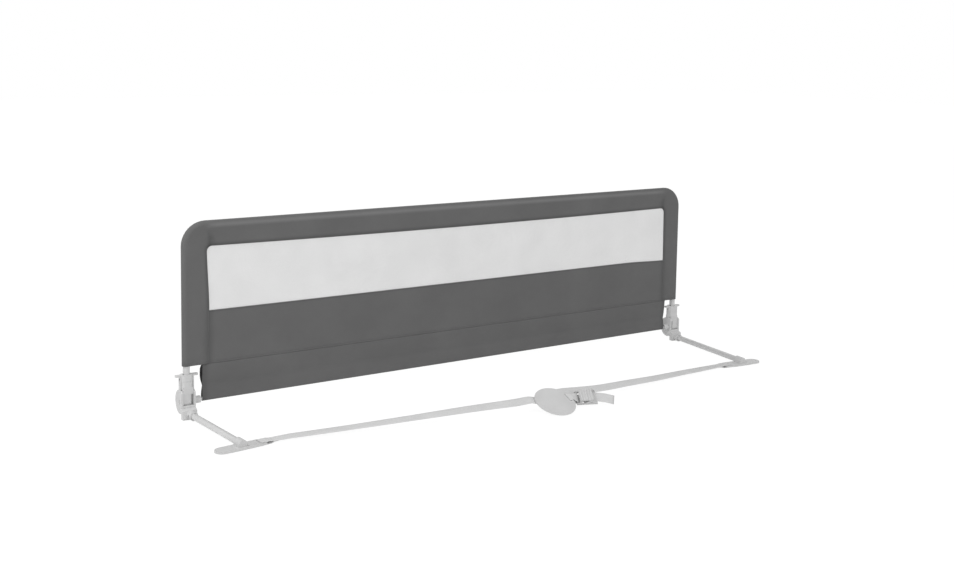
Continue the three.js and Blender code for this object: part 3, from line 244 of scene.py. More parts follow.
def dark_cloth(name, dark, light):
    """Woven cloth; its "seam" attribute darkens it above zero, for sewn seams and painted shade,
    and pales it below zero with a painted highlight.
    """
    s = Shader(name)
    uv, woven = thread_weave(s, WEAVE_PITCH)
    place = s.add("ShaderNodeTexCoord").outputs["Object"]
    base = s.ramp(s.noise(place, 9, 4), dark, light, 0.25, 0.75)
    fleck = s.ramp(s.noise(uv, 900, 2), 210, 255, 0.3, 0.7)
    base = s.mix(0.5, base, s.mix(1.0, base, fleck, "MULTIPLY"))
    seam = s.add("ShaderNodeAttribute", attribute_name="seam").outputs["Fac"]
    # Painted highlight where the mark is below zero.
    painted_highlight = s.math("MULTIPLY", seam, -1.0, clamp=True)
    # Sewn seams and painted shade where the mark is above zero.
    sewn = s.math("MAXIMUM", seam, 0.0)
    base = s.mix(painted_highlight, base, linear(HIGHLIGHT_GREY))
    s.feed(s.surface, "Base Color", s.mix(sewn, base, linear(SEAM_AND_SHADE_GREY)))
    s.feed(s.surface, "Roughness", s.span(s.noise(place, 60, 2), 0.84, 0.96))
    s.surface.inputs["Specular IOR Level"].default_value = 0.2
    s.surface.inputs["Sheen Weight"].default_value = 0.12
    s.surface.inputs["Sheen Roughness"].default_value = 0.5
    s.bump(woven, 0.25, 0.0002)
    return s.material


def pale_net(name, dark, light):
    s = Shader(name)
    uv = s.add("ShaderNodeUVMap").outputs[0]
    place = s.add("ShaderNodeTexCoord").outputs["Object"]
    turned = s.add("ShaderNodeMapping")
    turned.inputs["Rotation"].default_value = (0, 0, math.radians(45))
    s.link(uv, turned.inputs["Vector"])
    cells = s.add("ShaderNodeTexVoronoi", feature="DISTANCE_TO_EDGE", voronoi_dimensions="2D")
    cells.inputs["Scale"].default_value = 1 / NET_CELL
    cells.inputs["Randomness"].default_value = 0.12
    s.link(turned.outputs[0], cells.inputs["Vector"])
    thread = s.math("LESS_THAN", cells.outputs["Distance"], 0.27)
    cloudy = s.noise(place, 14, 4)
    s.feed(s.surface, "Base Color", s.ramp(cloudy, dark, light, 0.3, 0.7))
    s.feed(s.surface, "Roughness", s.span(s.noise(place, 90, 2), 0.75, 0.9))
    s.feed(s.surface, "Alpha", s.scale_add(thread, 0.62, 0.38))
    s.bump(cells.outputs["Distance"], 0.3, 0.0003)
    return s.material


def woven_tape(name, dark, light):
    s = Shader(name)
    uv = s.add("ShaderNodeUVMap")
    split = s.add("ShaderNodeSeparateXYZ")
    s.link(uv.outputs[0], split.inputs[0])
    zigzag = s.math("PINGPONG", split.outputs[0], TWILL_BAND)
    slanted = s.math("ADD", split.outputs[1], zigzag)
    rib = s.math("SINE", s.math("MULTIPLY", slanted, math.tau / TWILL_PITCH))
    height = s.scale_add(rib, 0.5, 0.5)
    place = s.add("ShaderNodeTexCoord").outputs["Object"]
    base = s.ramp(s.noise(place, 22, 3), dark, light)
    shade = s.ramp(height, 232, 255, 0.1, 0.9)
    s.feed(s.surface, "Base Color", s.mix(1.0, base, shade, "MULTIPLY"))
    s.feed(s.surface, "Roughness", s.span(s.noise(place, 120, 2), 0.72, 0.88))
    s.bump(height, 0.15, 0.0002)
    return s.material


def sewing_thread(name, dark, light):
    s = Shader(name)
    place = s.add("ShaderNodeTexCoord").outputs["Object"]
    s.feed(s.surface, "Base Color", s.ramp(s.noise(place, 800, 2), dark, light))
    s.feed(s.surface, "Roughness", s.span(s.noise(place, 500, 2), 0.6, 0.8))
    return s.material


LOOKS = {
    "white_plastic": moulded_plastic("white_plastic", 207, 215, 0.46),
    "painted_steel_tube": painted_steel("painted_steel_tube", 208, 215),
    "bright_steel": bright_steel("bright_steel"),
    "grey_rubber": soft_rubber("grey_rubber"),
    "dark_grey_cloth": dark_cloth("dark_grey_cloth", 107, 114),
    "pale_net": pale_net("pale_net", 227, 235),
    "pale_webbing": woven_tape("pale_webbing", 225, 232),
}
STITCH_DARK = sewing_thread("stitch_dark", 94, 102)


# ---------------------------------------------------------------- CAD nodes
WELD_REACH, EDGE_WIDTH, EDGE_ANGLE = 0.00001, 0.0005, math.radians(38)


def dress_nodes():
    """Gives each solid its look and softens its edges a little."""
    for entry in frame["record"]["subparts"]:
        node = frame["nodes"][entry["node"]]
        node.data.materials.clear()
        node.data.materials.append(LOOKS[entry["material_slot"]])
        node.data.polygons.foreach_set("use_smooth", [True] * len(node.data.polygons))
        weld = node.modifiers.new("weld", "WELD")
        weld.merge_threshold = WELD_REACH
        bevel = node.modifiers.new("edge", "BEVEL")
        bevel.width = EDGE_WIDTH
        bevel.segments = 2
        bevel.limit_method = "ANGLE"
        bevel.angle_limit = EDGE_ANGLE
        node.modifiers.new("normals", "WEIGHTED_NORMAL")


dress_nodes()


# ---------------------------------------------------------------- piece helpers
def new_piece(name, vertices, faces, material, soft=True):
    """An object with its own mesh; soft shades its faces smoothly."""
    mesh = bpy.data.meshes.new(name)
    mesh.from_pydata([tuple(v) for v in vertices], [], faces)
    mesh.polygons.foreach_set("use_smooth", [soft] * len(mesh.polygons))
    mesh.materials.append(material)
    piece = bpy.data.objects.new(name, mesh)
    bpy.context.scene.collection.objects.link(piece)
    return piece


def grid_piece(name, rows, material, closed=False, seam=None, thickness=0.0008, body="rail"):
    """A smooth sheet through rows of points, with UVs in metres."""
    count = len(rows[0])
    faces = []
    for r in range(len(rows) - 1):
        for c in range(count if closed else count - 1):
            n = (c + 1) % count
            faces.append((r * count + c, r * count + n, (r + 1) * count + n, (r + 1) * count + c))
    piece = new_piece(name, [p for row in rows for p in row], faces, material)
    mesh = piece.data
    along = [0.0]
    for r in range(1, len(rows)):
        gaps = [(rows[r][c] - rows[r - 1][c]).length for c in (0, count // 2)]
        along.append(along[-1] + max(gaps))
    across = []
    for row in rows:
        run = [0.0]
        for c in range(1, count + 1):
            run.append(run[-1] + (row[c % count] - row[c - 1]).length)
        across.append(run)
    layer = mesh.uv_layers.new(name="UVMap")
    place = 0
    for polygon in mesh.polygons:
        wraps = closed and max(v % count for v in polygon.vertices) == count - 1 \
            and min(v % count for v in polygon.vertices) == 0 and count > 2
        for v in polygon.vertices:
            r, c = divmod(v, count)
            column = count if wraps and c == 0 else c
            layer.data[place].uv = (across[r][column], along[r])
            place += 1
    # The seam attribute holds the cloth's marks: sewn seams, painted shade and painted highlight.
    if seam:
        values = mesh.attributes.new("seam", "FLOAT", "POINT")
        values.data.foreach_set("value", [v for row in seam for v in row])
    if thickness:
        solid = piece.modifiers.new("thickness", "SOLIDIFY")
        solid.thickness = thickness
        solid.offset = -1
    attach(piece, body)
    return piece


STITCH_PITCH, STITCH_LENGTH, STITCH_WIDTH = 0.0045, 0.0026, 0.0005


def stitch_row(name, points, normal, material, body="rail"):
    """Short raised stitches at even steps along a line of points."""
    length, width = STITCH_LENGTH, STITCH_WIDTH
    vertices, faces = [], []
    run, step = 0.0, STITCH_PITCH / 2
    for a, b in zip(points, points[1:]):
        gap = (b - a).length
        if gap < 1e-9:
            continue
        way = (b - a) / gap
        side = way.cross(normal).normalized()
        while step <= run + gap:
            centre = a + way * (step - run)
            b0 = len(vertices)
            for s in (-1, 1):
                for e in (-1, 1):
                    vertices.append(centre + way * (s * length / 2) + side * (e * width / 2))
            for s in (-0.55, 0.55):
                for e in (-1, 1):
                    vertices.append(centre + way * (s * length / 2) + side * (e * width / 3)
                                    + normal * (width * 0.7))
            faces += [(b0, b0 + 1, b0 + 5, b0 + 4), (b0 + 2, b0 + 6, b0 + 7, b0 + 3),
                      (b0 + 4, b0 + 5, b0 + 7, b0 + 6), (b0, b0 + 4, b0 + 6, b0 + 2),
                      (b0 + 1, b0 + 3, b0 + 7, b0 + 5), (b0, b0 + 2, b0 + 3, b0 + 1)]
            step += STITCH_PITCH
        run += gap
    piece = new_piece(name, vertices, faces, material)
    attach(piece, body)
    return piece


def ripple(point, size, seed):
    """Smooth noise with waves of about that size in metres, from -1 to 1."""
    return noise.noise(Vector((point[0] / size + seed, point[1] / size + 3.1 * seed,
                               point[2] / size - 1.7 * seed)))


# ---------------------------------------------------------------- fabric cover
COVER_HALF, COVER_TOP = 753.0, 455.0
SLEEVE_R, BORDER_SIDE, BORDER_TOP = 9.5, 60.5, 57.5
COVER_CORNER, WINDOW_CORNER = 56.5, 14.0
FRONT, BACK, SLEEVE_END, WINDOW_BOTTOM = -7.5, -5.1, 121.0, 246.0
STITCH_INSET, STITCH_GAP = 57.5, 2.4
# How far the window's upright edges stand to the right: at the end of the sleeve, at the
# window's lower corner and at its top.
LEAN_LEFT, LEAN_RIGHT, LEAN_TOP = (1.0, 2.0, -3.2), (3.0, 4.0, 2.0), 400
SAG = 4.5
# The top band begins at TOP_ZONE; its end seams stand at SEAM_X, the upright ones at SEAM_INSET.
TOP_ZONE, SEAM_X, SEAM_INSET, SEAM_LOW = 392, 688.0, 56.0, 250
HEM_HEIGHT = 126
# Up to this inset the cover lies on the tube; beyond it the cloth is looser.
ROUND_PART = 20
# Heights and sizes of the waves in metres, and depths of the seams.
LOOSE_WAVE, LOOSE_SIZE, TIGHT_WAVE, TIGHT_SIZE = 0.0011, 0.06, 0.00025, 0.03
SEAM_DEPTH, HEM_DEPTH, DARKEST = 0.0006, 0.0003, 0.75
# The front layer of the border: inset, lift towards the front and darkness.
FRONT_LAYER = ((60.2, -0.6, 0.5), (59.4, 0.1, 0.42), (58.2, 0.25, 0.34), (57.0, 0.0, 0.42),
               (55.6, 0.15, 0.3), (53.5, 0.2, 0.14), (50, 0.1, 0.0), (42, 0.0, 0.0),
               (32, 0.0, 0.0), (24, 0.0, 0.0), (17, 0.0, 0.0))
BACK_LAYER = (22, 31, 42, 52, 57, 60.2)


def at(x, y, z):
    return Vector((x * MM, y * MM + SHIFT_Y, z * MM))


def smooth(value, low, high):
    """Soft step from 0 at low to 1 at high."""
    t = min(1.0, max(0.0, (value - low) / (high - low)))
    return t * t * (3 - 2 * t)


def peak(value, place, reach):
    """1 at a place, and down to 0 at its reach."""
    return max(0.0, 1 - abs(value - place) / reach)


def edge_shift(x, z):
    """How far the window's upright edge and the seam under it stand to the right."""
    low, corner, high = LEAN_LEFT if x < 0 else LEAN_RIGHT
    if z < WINDOW_BOTTOM:
        shift = low + (corner - low) * (z - SLEEVE_END) / (WINDOW_BOTTOM - SLEEVE_END)
    else:
        shift = corner + (high - corner) * smooth(z, WINDOW_BOTTOM, LEAN_TOP)
    return shift * smooth(abs(x), 500, 680)


def outline_spots(inset):
    """The inverted U at one inset: places in millimetres as (x, z)."""
    band = SLEEVE_R * 2
    share = max(0.0, (inset - band) / (BORDER_SIDE - band))
    top_inset = min(inset, band) + share * (BORDER_TOP - band)
    exact = COVER_CORNER - min(inset, band)
    radius = exact + share * (WINDOW_CORNER - exact)
    half, top = COVER_HALF - inset, COVER_TOP - top_inset
    leg, steps, span = 24, 10, 96
    left = [(-half, SLEEVE_END + (top - radius - SLEEVE_END) * i / leg) for i in range(leg)]
    bend = []
    for i in range(steps + 1):
        angle = math.pi / 2 * i / steps
        bend.append((-half + radius - radius * math.cos(angle),
                     top - radius + radius * math.sin(angle)))
    middle = [(-half + radius + (2 * (half - radius)) * i / span, top) for i in range(1, span)]
    side = left + bend
    spots = side + middle + [(-x, z) for x, z in reversed(side)]
    return [(x + share * edge_shift(x, z),
             z - SAG * share * smooth(z, top - 20, top) * (1 - (x / half) ** 2))
            for x, z in spots]


def sleeve_section():
    """Inset, depth and darkness round the sleeve, from the window's edge and back."""
    centre = SLEEVE_R

    def turn(depth, hand):
        """Angle at which a line from the window's edge touches the round part."""
        across = BORDER_SIDE - centre
        aside = math.acos(SLEEVE_R / math.hypot(across, depth))
        return math.atan2(-across, -depth) + hand * aside

    start, finish = turn(FRONT, 1), turn(BACK, -1) + math.tau
    arc = []
    steps = 18
    for i in range(steps + 1):
        angle = start + (finish - start) * i / steps
        arc.append((centre - SLEEVE_R * math.sin(angle), -SLEEVE_R * math.cos(angle)))
    section = []
    for inset, lift, dark in FRONT_LAYER:
        share = (inset - arc[0][0]) / (BORDER_SIDE - arc[0][0])
        section.append((inset, arc[0][1] + (FRONT - arc[0][1]) * share - lift, dark))
    section += [(inset, depth, 0.0) for inset, depth in arc]
    for inset in BACK_LAYER:
        share = (inset - arc[-1][0]) / (BORDER_SIDE - arc[-1][0])
        section.append((inset, arc[-1][1] + (BACK - arc[-1][1]) * share, 0.0))
    section.append((BORDER_SIDE, (FRONT + BACK) / 2, 0.4))
    return section


def side_seam(x, z, inset):
    """Nearness to the upright seams where the side pieces meet the rest, up to 1."""
    return peak(abs(x), SEAM_X, 9.0) if z > TOP_ZONE else peak(inset, SEAM_INSET, 11.0)


def rail_highlight_and_shade(x, z, inset, depth):
    """Painted highlight along the front of the top rail (below zero), with a line of painted
    shade on the rail's top above it.
    """
    if depth > 0 or z < TOP_ZONE:
        return 0.0
    line = 0.1 * peak(inset, 2.5, 2.5) - 0.17 * peak(inset, SLEEVE_R, 6.5)
    return smooth(-abs(x), -705, -670) * line


def make_sleeve():
    """The fabric round the tubes, drawn in to the flat border of the window."""
    section = sleeve_section()
    spots = [outline_spots(inset) for inset, depth, dark in section]
    rows, seams = [], []
    for place in range(len(spots[0])):
        row, marks = [], []
        for (inset, depth, dark), outline in zip(section, spots):
            x, z = outline[place]
            p = at(x, depth, z)
            loose = (min(1.0, max(0.0, (inset - ROUND_PART) / 12))
                     * min(1.0, (BORDER_SIDE - inset) / 10))
            p.y += LOOSE_WAVE * loose * ripple(p, LOOSE_SIZE, 1.0)
            tight = TIGHT_WAVE if inset < ROUND_PART else 0.0
            p.y += tight * ripple(p, TIGHT_SIZE, 4.0)
            sewn = (z > TOP_ZONE or z < SEAM_LOW) and inset > ROUND_PART
            seam = side_seam(x, z, inset) if sewn else 0.0
            if depth < 2:
                p.y += SEAM_DEPTH * seam
            hem = peak(z, HEM_HEIGHT, 3.0)
            if depth < 0:
                p.y += HEM_DEPTH * hem
            row.append(p)
            edge = dark if z > WINDOW_BOTTOM - 2 else 0.25 * dark
            share = 0.42 if z > TOP_ZONE else 0.22
            lines = share * seam + 0.15 * hem + rail_highlight_and_shade(x, z, inset, depth)
            marks.append(min(DARKEST, edge + lines))
        rows.append(row)
        seams.append(marks)
    return grid_piece("cover_sleeve", rows, LOOKS["dark_grey_cloth"], closed=True, seam=seams)


sleeve = make_sleeve()
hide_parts("fabric_cover")


# Heights of the panel's two long seams, and the columns and rows that crowd at its edges.
PANEL_HALF, PANEL_SEAM, PANEL_HEM = 694.0, 243, 125.5
PANEL_ENDS = (-PANEL_HALF, -691, -688, -685, -681.5, -677.5)
PANEL_TOP_ROWS = (246.2, 245.6, 244.4, PANEL_SEAM, 241.5)
PANEL_LOW_ROWS = (129, 127, PANEL_HEM, 124, 122.6, 121.2)
WINDOW_DROP = 4.0
# Height in millimetres, size in metres and seed of each wave.
PANEL_WAVE, PANEL_CREASE, NET_WAVE = (1.5, 0.11, 7.0), (0.5, 0.045, 9.0), (0.9, 0.14, 12.0)


def panel_depth(x, z, layer):
    """Depth of the lower panel: soft waves between its sewn edges."""
    inner = (min(1.0, (PANEL_HALF - abs(x)) / 25) * min(1.0, (z - SLEEVE_END) / 14)
             * min(1.0, (WINDOW_BOTTOM - z) / 14))
    high, size, seed = PANEL_WAVE
    wave = high * ripple((x * MM, 0, z * MM * 0.5), size, seed)
    high, size, seed = PANEL_CREASE
    wave += high * ripple((x * MM, 0, z * MM), size, seed)
    return (FRONT if layer == 0 else BACK) - 0.2 + max(0.0, inner) * wave


def window_drop(x, z):
    """The panel's top edge comes down a little towards the right end."""
    return WINDOW_DROP * smooth(x, 560, 690) * smooth(z, 200, 240)


def make_panel():
    """The two layers of fabric under the window, sewn all round."""
    half, high, foot, columns, levels = 673, 240, 130, 108, 16
    xs = [*PANEL_ENDS, *(-half + 2 * half * i / columns for i in range(columns + 1)),
          *(-x for x in reversed(PANEL_ENDS))]
    front = [*PANEL_TOP_ROWS, *(high - (high - foot) * i / levels for i in range(levels)),
             *PANEL_LOW_ROWS]
    rows, seams = [], []
    for x in xs:
        side = smooth(abs(x), 676, 693)
        row, marks = [], []
        for z in front:
            groove = 0.45 if z in (PANEL_SEAM, PANEL_HEM) else 0.0
            row.append(at(x + edge_shift(x, z), panel_depth(x, z, 0) + groove + 0.3 * side,
                          z - window_drop(x, z)))
            seam = 0.22 if z == PANEL_SEAM else 0.0
            # Painted shade at the panel's bottom edge, in the crease over the flap.
            low = 0.05 * smooth(-z, -HEM_HEIGHT, -122)
            marks.append(min(DARKEST, 0.3 * side + low + seam))
        for z in reversed(front):
            row.append(at(x + edge_shift(x, z), panel_depth(x, z, 1), z - window_drop(x, z)))
            marks.append(0.0)
        rows.append(row)
        seams.append(marks)
    return grid_piece("cover_panel", rows, LOOKS["dark_grey_cloth"], closed=True, seam=seams)


panel = make_panel()


# ---------------------------------------------------------------- net window
def make_net():
    """The net, a little larger than the window, between the layers of the border."""
    half, bottom, top, columns, levels = 698.0, 240.5, 401.0, 120, 16
    high, size, seed = NET_WAVE
    xs = [-half + 2 * half * i / columns for i in range(columns + 1)]
    zs = [bottom + (top - bottom) * i / levels for i in range(levels + 1)]
    rows = []
    for x in xs:
        row = []
        for z in zs:
            inner = (min(1.0, (half - abs(x)) / 40) * min(1.0, (z - bottom) / 30)
                     * min(1.0, (top - z) / 30))
            depth = (FRONT + BACK) / 2 + high * inner * ripple((x * MM, 0, z * MM), size, seed)
            row.append(at(x, depth, z))
        rows.append(row)
    return grid_piece("window_mesh", rows, LOOKS["pale_net"], thickness=0.0)


net = make_net()
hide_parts("window_net")


# ---------------------------------------------------------------- lower flap
# The two layers of the flap meet at the height PINCH, above the hem round the cross tube.
PINCH, FLAP_TOP, FLAP_HALF = 70.0, 120.8, 707.0
HEM_R, HEM_AXIS, HEM_STEPS = 5.4, 38, 12
FLAP_ENDS, FLAP_SPAN = (-1, -0.997, -0.993, -0.985), 0.975
FLAP_WAVE = 1.2, 0.09, 21.0


def flap_path():
    """Depth and height down the front layer, round the hem and up the back layer."""
    path = [(FRONT, FLAP_TOP), (FRONT, 117), (-7.3, 110), (-6.8, 101), (-5.8, 92), (-4.5, 83),
            (-3.2, 76), (-2.3, PINCH), (-3.3, 63), (-4.6, 55), (-5.3, 46)]
    for i in range(HEM_STEPS + 1):
        angle = math.pi * i / HEM_STEPS
        path.append((-HEM_R * math.cos(angle), HEM_AXIS - HEM_R * math.sin(angle)))
    path += [(5.3, 46), (4.0, 55), (1.2, 63), (-1.3, PINCH), (1.0, 76), (3.6, 83), (5.0, 92),
             (5.2, 101), (3.4, 110), (-2.0, 117), (BACK, FLAP_TOP)]
    return path


def make_flap():
    """The cloth under the panel, which hangs round the cross tube."""
    path = flap_path()
    rows, seams = [], []
    high, size, seed = FLAP_WAVE
    columns = 116
    middle = [-FLAP_SPAN + 2 * FLAP_SPAN * i / columns for i in range(columns + 1)]
    shares = [*FLAP_ENDS, *middle, *(-share for share in reversed(FLAP_ENDS))]
    for share in shares:
        row, marks = [], []
        for place, (y, z) in enumerate(path):
            back = place > len(path) // 2
            edge = FLAP_HALF + (0.5 if z > PINCH else 0.0)
            x = share * (edge + (2.5 if back else 0.0) * smooth(z, PINCH, 90))
            loose = min(1.0, max(0.0, (z - 74) / 16)) * min(1.0, (SLEEVE_END - z) / 12)
            wave = high * loose * ripple((x * MM, 0, z * MM * 0.4), size, seed)
            row.append(at(x, y + wave, z))
            # Painted shade: a faint line in the crease at the top under the panel, and deeper
            # shade inside the open ends, most on the back layer.
            top = 0.06 * smooth(z, 118, 120.5)
            end = (0.9 if back else 0.3) * smooth(abs(share), FLAP_SPAN, 0.995)
            marks.append(min(0.9, top + end))
        rows.append(row)
        seams.append(marks)
    return grid_piece("flap_cloth", rows, LOOKS["dark_grey_cloth"], seam=seams, thickness=0.0009)


flap = make_flap()
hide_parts("lower_flap")


# ---------------------------------------------------------------- stitches on the cover
def make_stitches():
    """Two rows round the window, and one along each long seam of the panel."""
    front = Vector((0, -1, 0))
    half, steps = 689, 220
    rows = []
    for inset, low in ((STITCH_INSET, SLEEVE_END), (STITCH_INSET - STITCH_GAP, 240)):
        rows.append([at(x, FRONT - 0.2, z) for x, z in outline_spots(inset) if z > low])
    for z in (PANEL_SEAM, PANEL_HEM):
        xs = [-half + 2 * half * i / steps for i in range(steps + 1)]
        rows.append([at(x + edge_shift(x, z), panel_depth(x, z, 0) - 0.1, z - window_drop(x, z))
                     for x in xs])
    for number, row in enumerate(rows):
        piece = stitch_row(f"cover_stitches_{number + 1}", row, front, STITCH_DARK)


make_stitches()


# ---------------------------------------------------------------- webbing
WEB_W, WEB_T = 25.0, 1.4
REACH = {-1: 266.0, 1: 314.5}
FOOT_OUTSET, FOOT_TIP = 15, 43
DISC_PLACE, DISC_TILT = Vector((25, -389.6, 21)), math.radians(22)
BUCKLE_PLACE = Vector((114, -395.6, 19))
DISC_TURN = Matrix.Rotation(DISC_TILT, 3, "X")
BUCKLE_YAW, BUCKLE_TILT = math.radians(-20), math.radians(40)
BUCKLE_TURN = Matrix.Rotation(BUCKLE_YAW, 3, "Z") @ Matrix.Rotation(BUCKLE_TILT, 3, "X")
ACROSS = Vector((0, 1, 0))


# Each of these gives a place in millimetres and the direction across the webbing there.
def on_disc(u, v, w):
    return DISC_TURN @ Vector((u, v, w)) + DISC_PLACE, DISC_TURN @ ACROSS


def on_buckle(a, c):
    return BUCKLE_TURN @ Vector((a, 0, c)) + BUCKLE_PLACE, BUCKLE_TURN @ ACROSS


def on_foot(side, inset, height):
    reach = REACH[side]
    toe = (math.acos(FOOT_OUTSET / math.hypot(reach, FOOT_TIP))
           - math.atan2(reach, FOOT_TIP))
    turn = Matrix.Rotation(-side * toe, 3, "Z")
    place = turn @ Vector((-side * inset, -reach, height))
    place.x += side * HALF_SPACING
    return place, turn @ ACROSS


def free(x, y, z, tilt):
    return Vector((x, y, z)), Matrix.Rotation(math.radians(tilt), 3, "X") @ ACROSS


def foot_loop(side):
    """The end of a strap, from its sewn tail round the bar of the foot."""
    places = ((86, 4.7), (75, 3.9), (66, 1.2), (45, 1.2), (45, 7.2), (63, 7.2), (73.5, 5.5))
    return [on_foot(side, inset, height) for inset, height in places]


LEFT_STATIONS = foot_loop(-1) + [
    free(-601, -260.8, 7.1, 4), free(-466.7, -285, 10.9, 5.9), free(-326.9, -310.2, 16.2, 9.9),
    free(-181.4, -336.3, 22.0, 18), free(-68.3, -356.7, 25.0, 24),
    on_disc(-56, 25.6, -2.2), on_disc(-27.5, 13.3, -1.9), on_disc(25.5, 0.3, -2.8),
    on_disc(51.6, 4.4, -3.7), on_buckle(-24.3, -4.5), on_buckle(-20.2, -4.5),
    on_buckle(-9.7, 3.0), on_buckle(26, 3.0),
    free(158, -416.1, 18, 40), free(176, -426.6, 13, 42)]
RIGHT_STATIONS = foot_loop(1) + [
    free(578.6, -310.7, 6.5, 5), free(487.7, -319.5, 9.3, 9), free(392.6, -328.7, 11.5, 13),
    free(293.7, -338.3, 15.8, 18), free(188.3, -348.5, 20.2, 22),
    on_disc(51, 32.9, -1.9), on_disc(7.3, 32.9, -1.9), on_disc(7.3, 32.9, -7.0),
    on_disc(16.3, 32.9, -7.0), on_disc(24.3, 32.9, -3.6), on_disc(41.3, 32.9, -3.6)]


LONG_RUN, LONG_STEP, SHORT_STEP, SHARP = 60, 12, 6, math.radians(14)
ROUND_STEPS, ROUND_REACH = 3, 1.1


def refined(stations, closed=False):
    """Stations with rounded corners, and long runs as a smooth curve with short steps."""
    places = [p for p, a in stations]
    count = len(places)
    fine = []
    for i in range(count if closed else count - 1):
        j = (i + 1) % count
        p1, a1 = stations[i]
        p2, a2 = stations[j]
        gap = (p2 - p1).length
        if gap > LONG_RUN:
            before = places[i - 1]
            if (p1 - before).length <= LONG_RUN:
                before = p1 - (p2 - p1) * 0.5
            after = places[min(j + 1, count - 1)]
            if (after - p2).length <= LONG_RUN:
                after = p2 + (p2 - p1) * 0.5
            m1, m2 = (p2 - before) * 0.5, (after - p1) * 0.5
            steps = max(2, int(gap / LONG_STEP))
            for k in range(steps):
                t = k / steps
                h = (2 * t ** 3 - 3 * t ** 2 + 1, t ** 3 - 2 * t ** 2 + t,
                     -2 * t ** 3 + 3 * t ** 2, t ** 3 - t ** 2)
                fine.append((h[0] * p1 + h[1] * m1 + h[2] * p2 + h[3] * m2, a1.lerp(a2, t)))
        else:
            steps = max(1, int(gap / SHORT_STEP))
            for k in range(steps):
                fine.append((p1.lerp(p2, k / steps), a1.lerp(a2, k / steps)))
    if not closed:
        fine.append(stations[-1])
    rounded = []
    total = len(fine)
    for i, (p, a) in enumerate(fine):
        if not closed and i in (0, total - 1):
            rounded.append((p, a))
            continue
        before, after = fine[i - 1][0], fine[(i + 1) % total][0]
        come, go = (p - before), (after - p)
        if come.length < 1e-6 or go.length < 1e-6:
            continue
        if come.angle(go) > SHARP:
            reach = min(ROUND_REACH, come.length * 0.45, go.length * 0.45)
            first, last = p - come.normalized() * reach, p + go.normalized() * reach
            for k in range(ROUND_STEPS + 1):
                t = k / ROUND_STEPS
                q = (1 - t) ** 2 * first + 2 * t * (1 - t) * p + t ** 2 * last
                rounded.append((q, a))
        else:
            rounded.append((p, a))
    return rounded


def tape(name, stations, material, closed=False):
    """A flat woven band with round edges through its stations, in millimetres."""
    fine = refined(stations, closed)
    total = len(fine)
    rows = []
    half, thick = WEB_W / 2, WEB_T / 2
    profile = [(-half + 0.5, -thick), (-half * 0.5, -thick), (0, -thick), (half * 0.5, -thick),
               (half - 0.5, -thick), (half, -thick * 0.4), (half, thick * 0.4),
               (half - 0.5, thick), (half * 0.5, thick), (0, thick), (-half * 0.5, thick),
               (-half + 0.5, thick), (-half, thick * 0.4), (-half, -thick * 0.4)]
    for i, (p, a) in enumerate(fine):
        before = fine[i - 1][0] if closed or i > 0 else p
        after = fine[(i + 1) % total][0] if closed or i < total - 1 else p
        come, go = (p - before).normalized(), (after - p).normalized()
        way = (come + go).normalized()
        straight = go if go.length > 0 else come
        mitre = 1 / max(way.dot(straight), 0.72)
        across = (a - way * a.dot(way)).normalized()
        up = way.cross(across)
        row = []
        for b, c in profile:
            row.append(at(*(p + across * b + up * (c * mitre))))
        rows.append(row)
    if closed:
        rows.append([v.copy() for v in rows[0]])
    piece = grid_piece(name, rows, material, closed=True, thickness=0, body="base")
    if not closed:
        cap_ends(piece, len(rows), len(profile))
    return piece


def cap_ends(piece, rows, count):
    """Closes both ends of a band."""
    made = bmesh.new()
    made.from_mesh(piece.data)
    made.verts.ensure_lookup_table()
    made.faces.new([made.verts[i] for i in reversed(range(count))])
    made.faces.new([made.verts[(rows - 1) * count + i] for i in range(count)])
    bmesh.ops.recalc_face_normals(made, faces=made.faces)
    made.to_mesh(piece.data)
    made.free()


left_tape = tape("webbing_left", LEFT_STATIONS, LOOKS["pale_webbing"])
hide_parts("strap_left")
right_tape = tape("webbing_right", RIGHT_STATIONS, LOOKS["pale_webbing"])
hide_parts("strap_right")

LINK_R, LINK_FROM, LINK_STEPS = 2.8, math.radians(68), 6
LINK_STATIONS = [on_disc(41.2, 4.4, -1.0), on_disc(41.2, 4.4, 4.2), on_disc(51.6, 4.4, 4.2)]
for step in range(LINK_STEPS + 1):
    angle = LINK_FROM - math.pi * step / LINK_STEPS
    LINK_STATIONS.append(on_buckle(-24 + LINK_R * math.cos(angle), 1 + LINK_R * math.sin(angle)))
LINK_STATIONS.append(on_disc(51.6, 4.4, -1.0))
link_tape = tape("webbing_link", LINK_STATIONS, LOOKS["pale_webbing"], closed=True)
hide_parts("buckle_link")


# ---------------------------------------------------------------- lips of the brackets
LIP_PROFILE = ((-14.8, 24.7), (-14.8, 29.6), (-14.5, 30.5), (-13.8, 31.0), (-12.9, 31.0),
               (-12.2, 30.6), (-11.9, 29.8), (-11.9, 24.7))
LIP_HALF = 12.5


def make_lip(side):
    """Rounded edge on the front web of a bracket, under the knuckle."""
    count = len(LIP_PROFILE)
    vertices, faces = [], []
    for x in (-LIP_HALF, 0.0, LIP_HALF):
        vertices += [at(side * HALF_SPACING + x, y, z) for y, z in LIP_PROFILE]
    for section in range(2):
        for c in range(count):
            n = (c + 1) % count
            faces.append((section * count + c, (section + 1) * count + c,
                          (section + 1) * count + n, section * count + n))
    faces += [tuple(range(count)), tuple(2 * count + c for c in reversed(range(count)))]
    name = "bracket_lip_left" if side < 0 else "bracket_lip_right"
    lip = new_piece(name, vertices, faces, LOOKS["white_plastic"], soft=False)
    edge = lip.modifiers.new("edge", "BEVEL")
    edge.width, edge.segments, edge.limit_method = 0.0003, 2, "ANGLE"
    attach(lip, "base")


make_lip(-1)
make_lip(1)


# ---------------------------------------------------------------- floor and light
FLOOR_GLOW, FLOOR_SHARE, FLOOR_REACH, FLOOR_LEVEL = 1.09, 0.86, 14, -0.0002
WORLD_LIGHT = 0.56


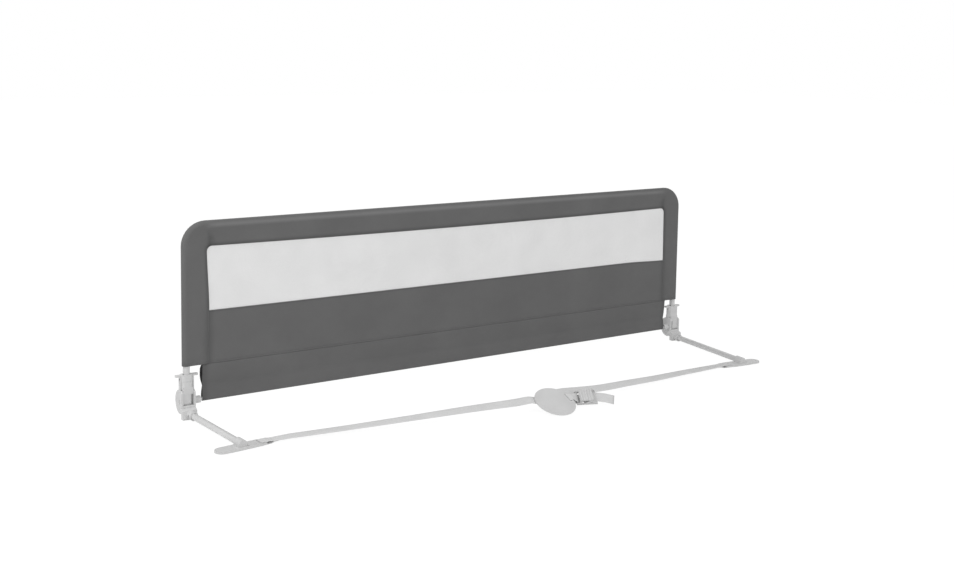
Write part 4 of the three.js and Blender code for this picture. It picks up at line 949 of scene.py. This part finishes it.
def make_stage():
    """White floor that is brighter to the eye than to the pieces on it."""
    s = Shader("floor_white")
    s.surface.inputs["Base Color"].default_value = (0.9, 0.9, 0.9, 1)
    s.surface.inputs["Roughness"].default_value = 0.9
    glow = s.add("ShaderNodeEmission")
    glow.inputs["Strength"].default_value = FLOOR_GLOW
    mix = s.add("ShaderNodeMixShader")
    s.link(s.math("MULTIPLY", s.seen_directly(), FLOOR_SHARE), mix.inputs[0])
    s.link(s.surface.outputs[0], mix.inputs[1])
    s.link(glow.outputs[0], mix.inputs[2])
    s.link(mix.outputs[0], s.output.inputs["Surface"])
    corners = [(x * FLOOR_REACH, y * FLOOR_REACH, FLOOR_LEVEL)
               for x, y in ((-1, -1), (1, -1), (1, 1), (-1, 1))]
    floor = new_piece("floor", corners, [(0, 1, 2, 3)], s.material, soft=False)


def make_world():
    """Even light from all round, and plain white where it is seen directly."""
    world = bpy.data.worlds.new("studio")
    bpy.context.scene.world = world
    world.use_nodes = True
    nodes = Nodes(world.node_tree)
    mix = nodes.add("ShaderNodeMixShader")
    nodes.link(nodes.seen_directly(), mix.inputs[0])
    for slot, strength in ((1, WORLD_LIGHT), (2, 1.0)):
        light = nodes.add("ShaderNodeBackground")
        light.inputs[0].default_value = (1, 1, 1, 1)
        light.inputs[1].default_value = strength
        nodes.link(light.outputs[0], mix.inputs[slot])
    nodes.link(mix.outputs[0], nodes.add("ShaderNodeOutputWorld").inputs[0])


def area_light(name, place, target, size, power):
    data = bpy.data.lights.new(name, "AREA")
    data.shape = "DISK"
    data.size = size
    data.energy = power
    lamp = bpy.data.objects.new(name, data)
    bpy.context.scene.collection.objects.link(lamp)
    lamp.location = place
    lamp.rotation_euler = (Vector(target) - Vector(place)).to_track_quat("-Z", "Y").to_euler()


make_stage()
make_world()
area_light("key", (-1.9, 0.0, 1.9), (-0.5, -0.1, 0.0), 0.9, 18)
area_light("fill", (0.4, -4.5, 2.2), (0.0, 0, 0.2), 3.0, 46)
bpy.context.scene.view_settings.view_transform = "Standard"
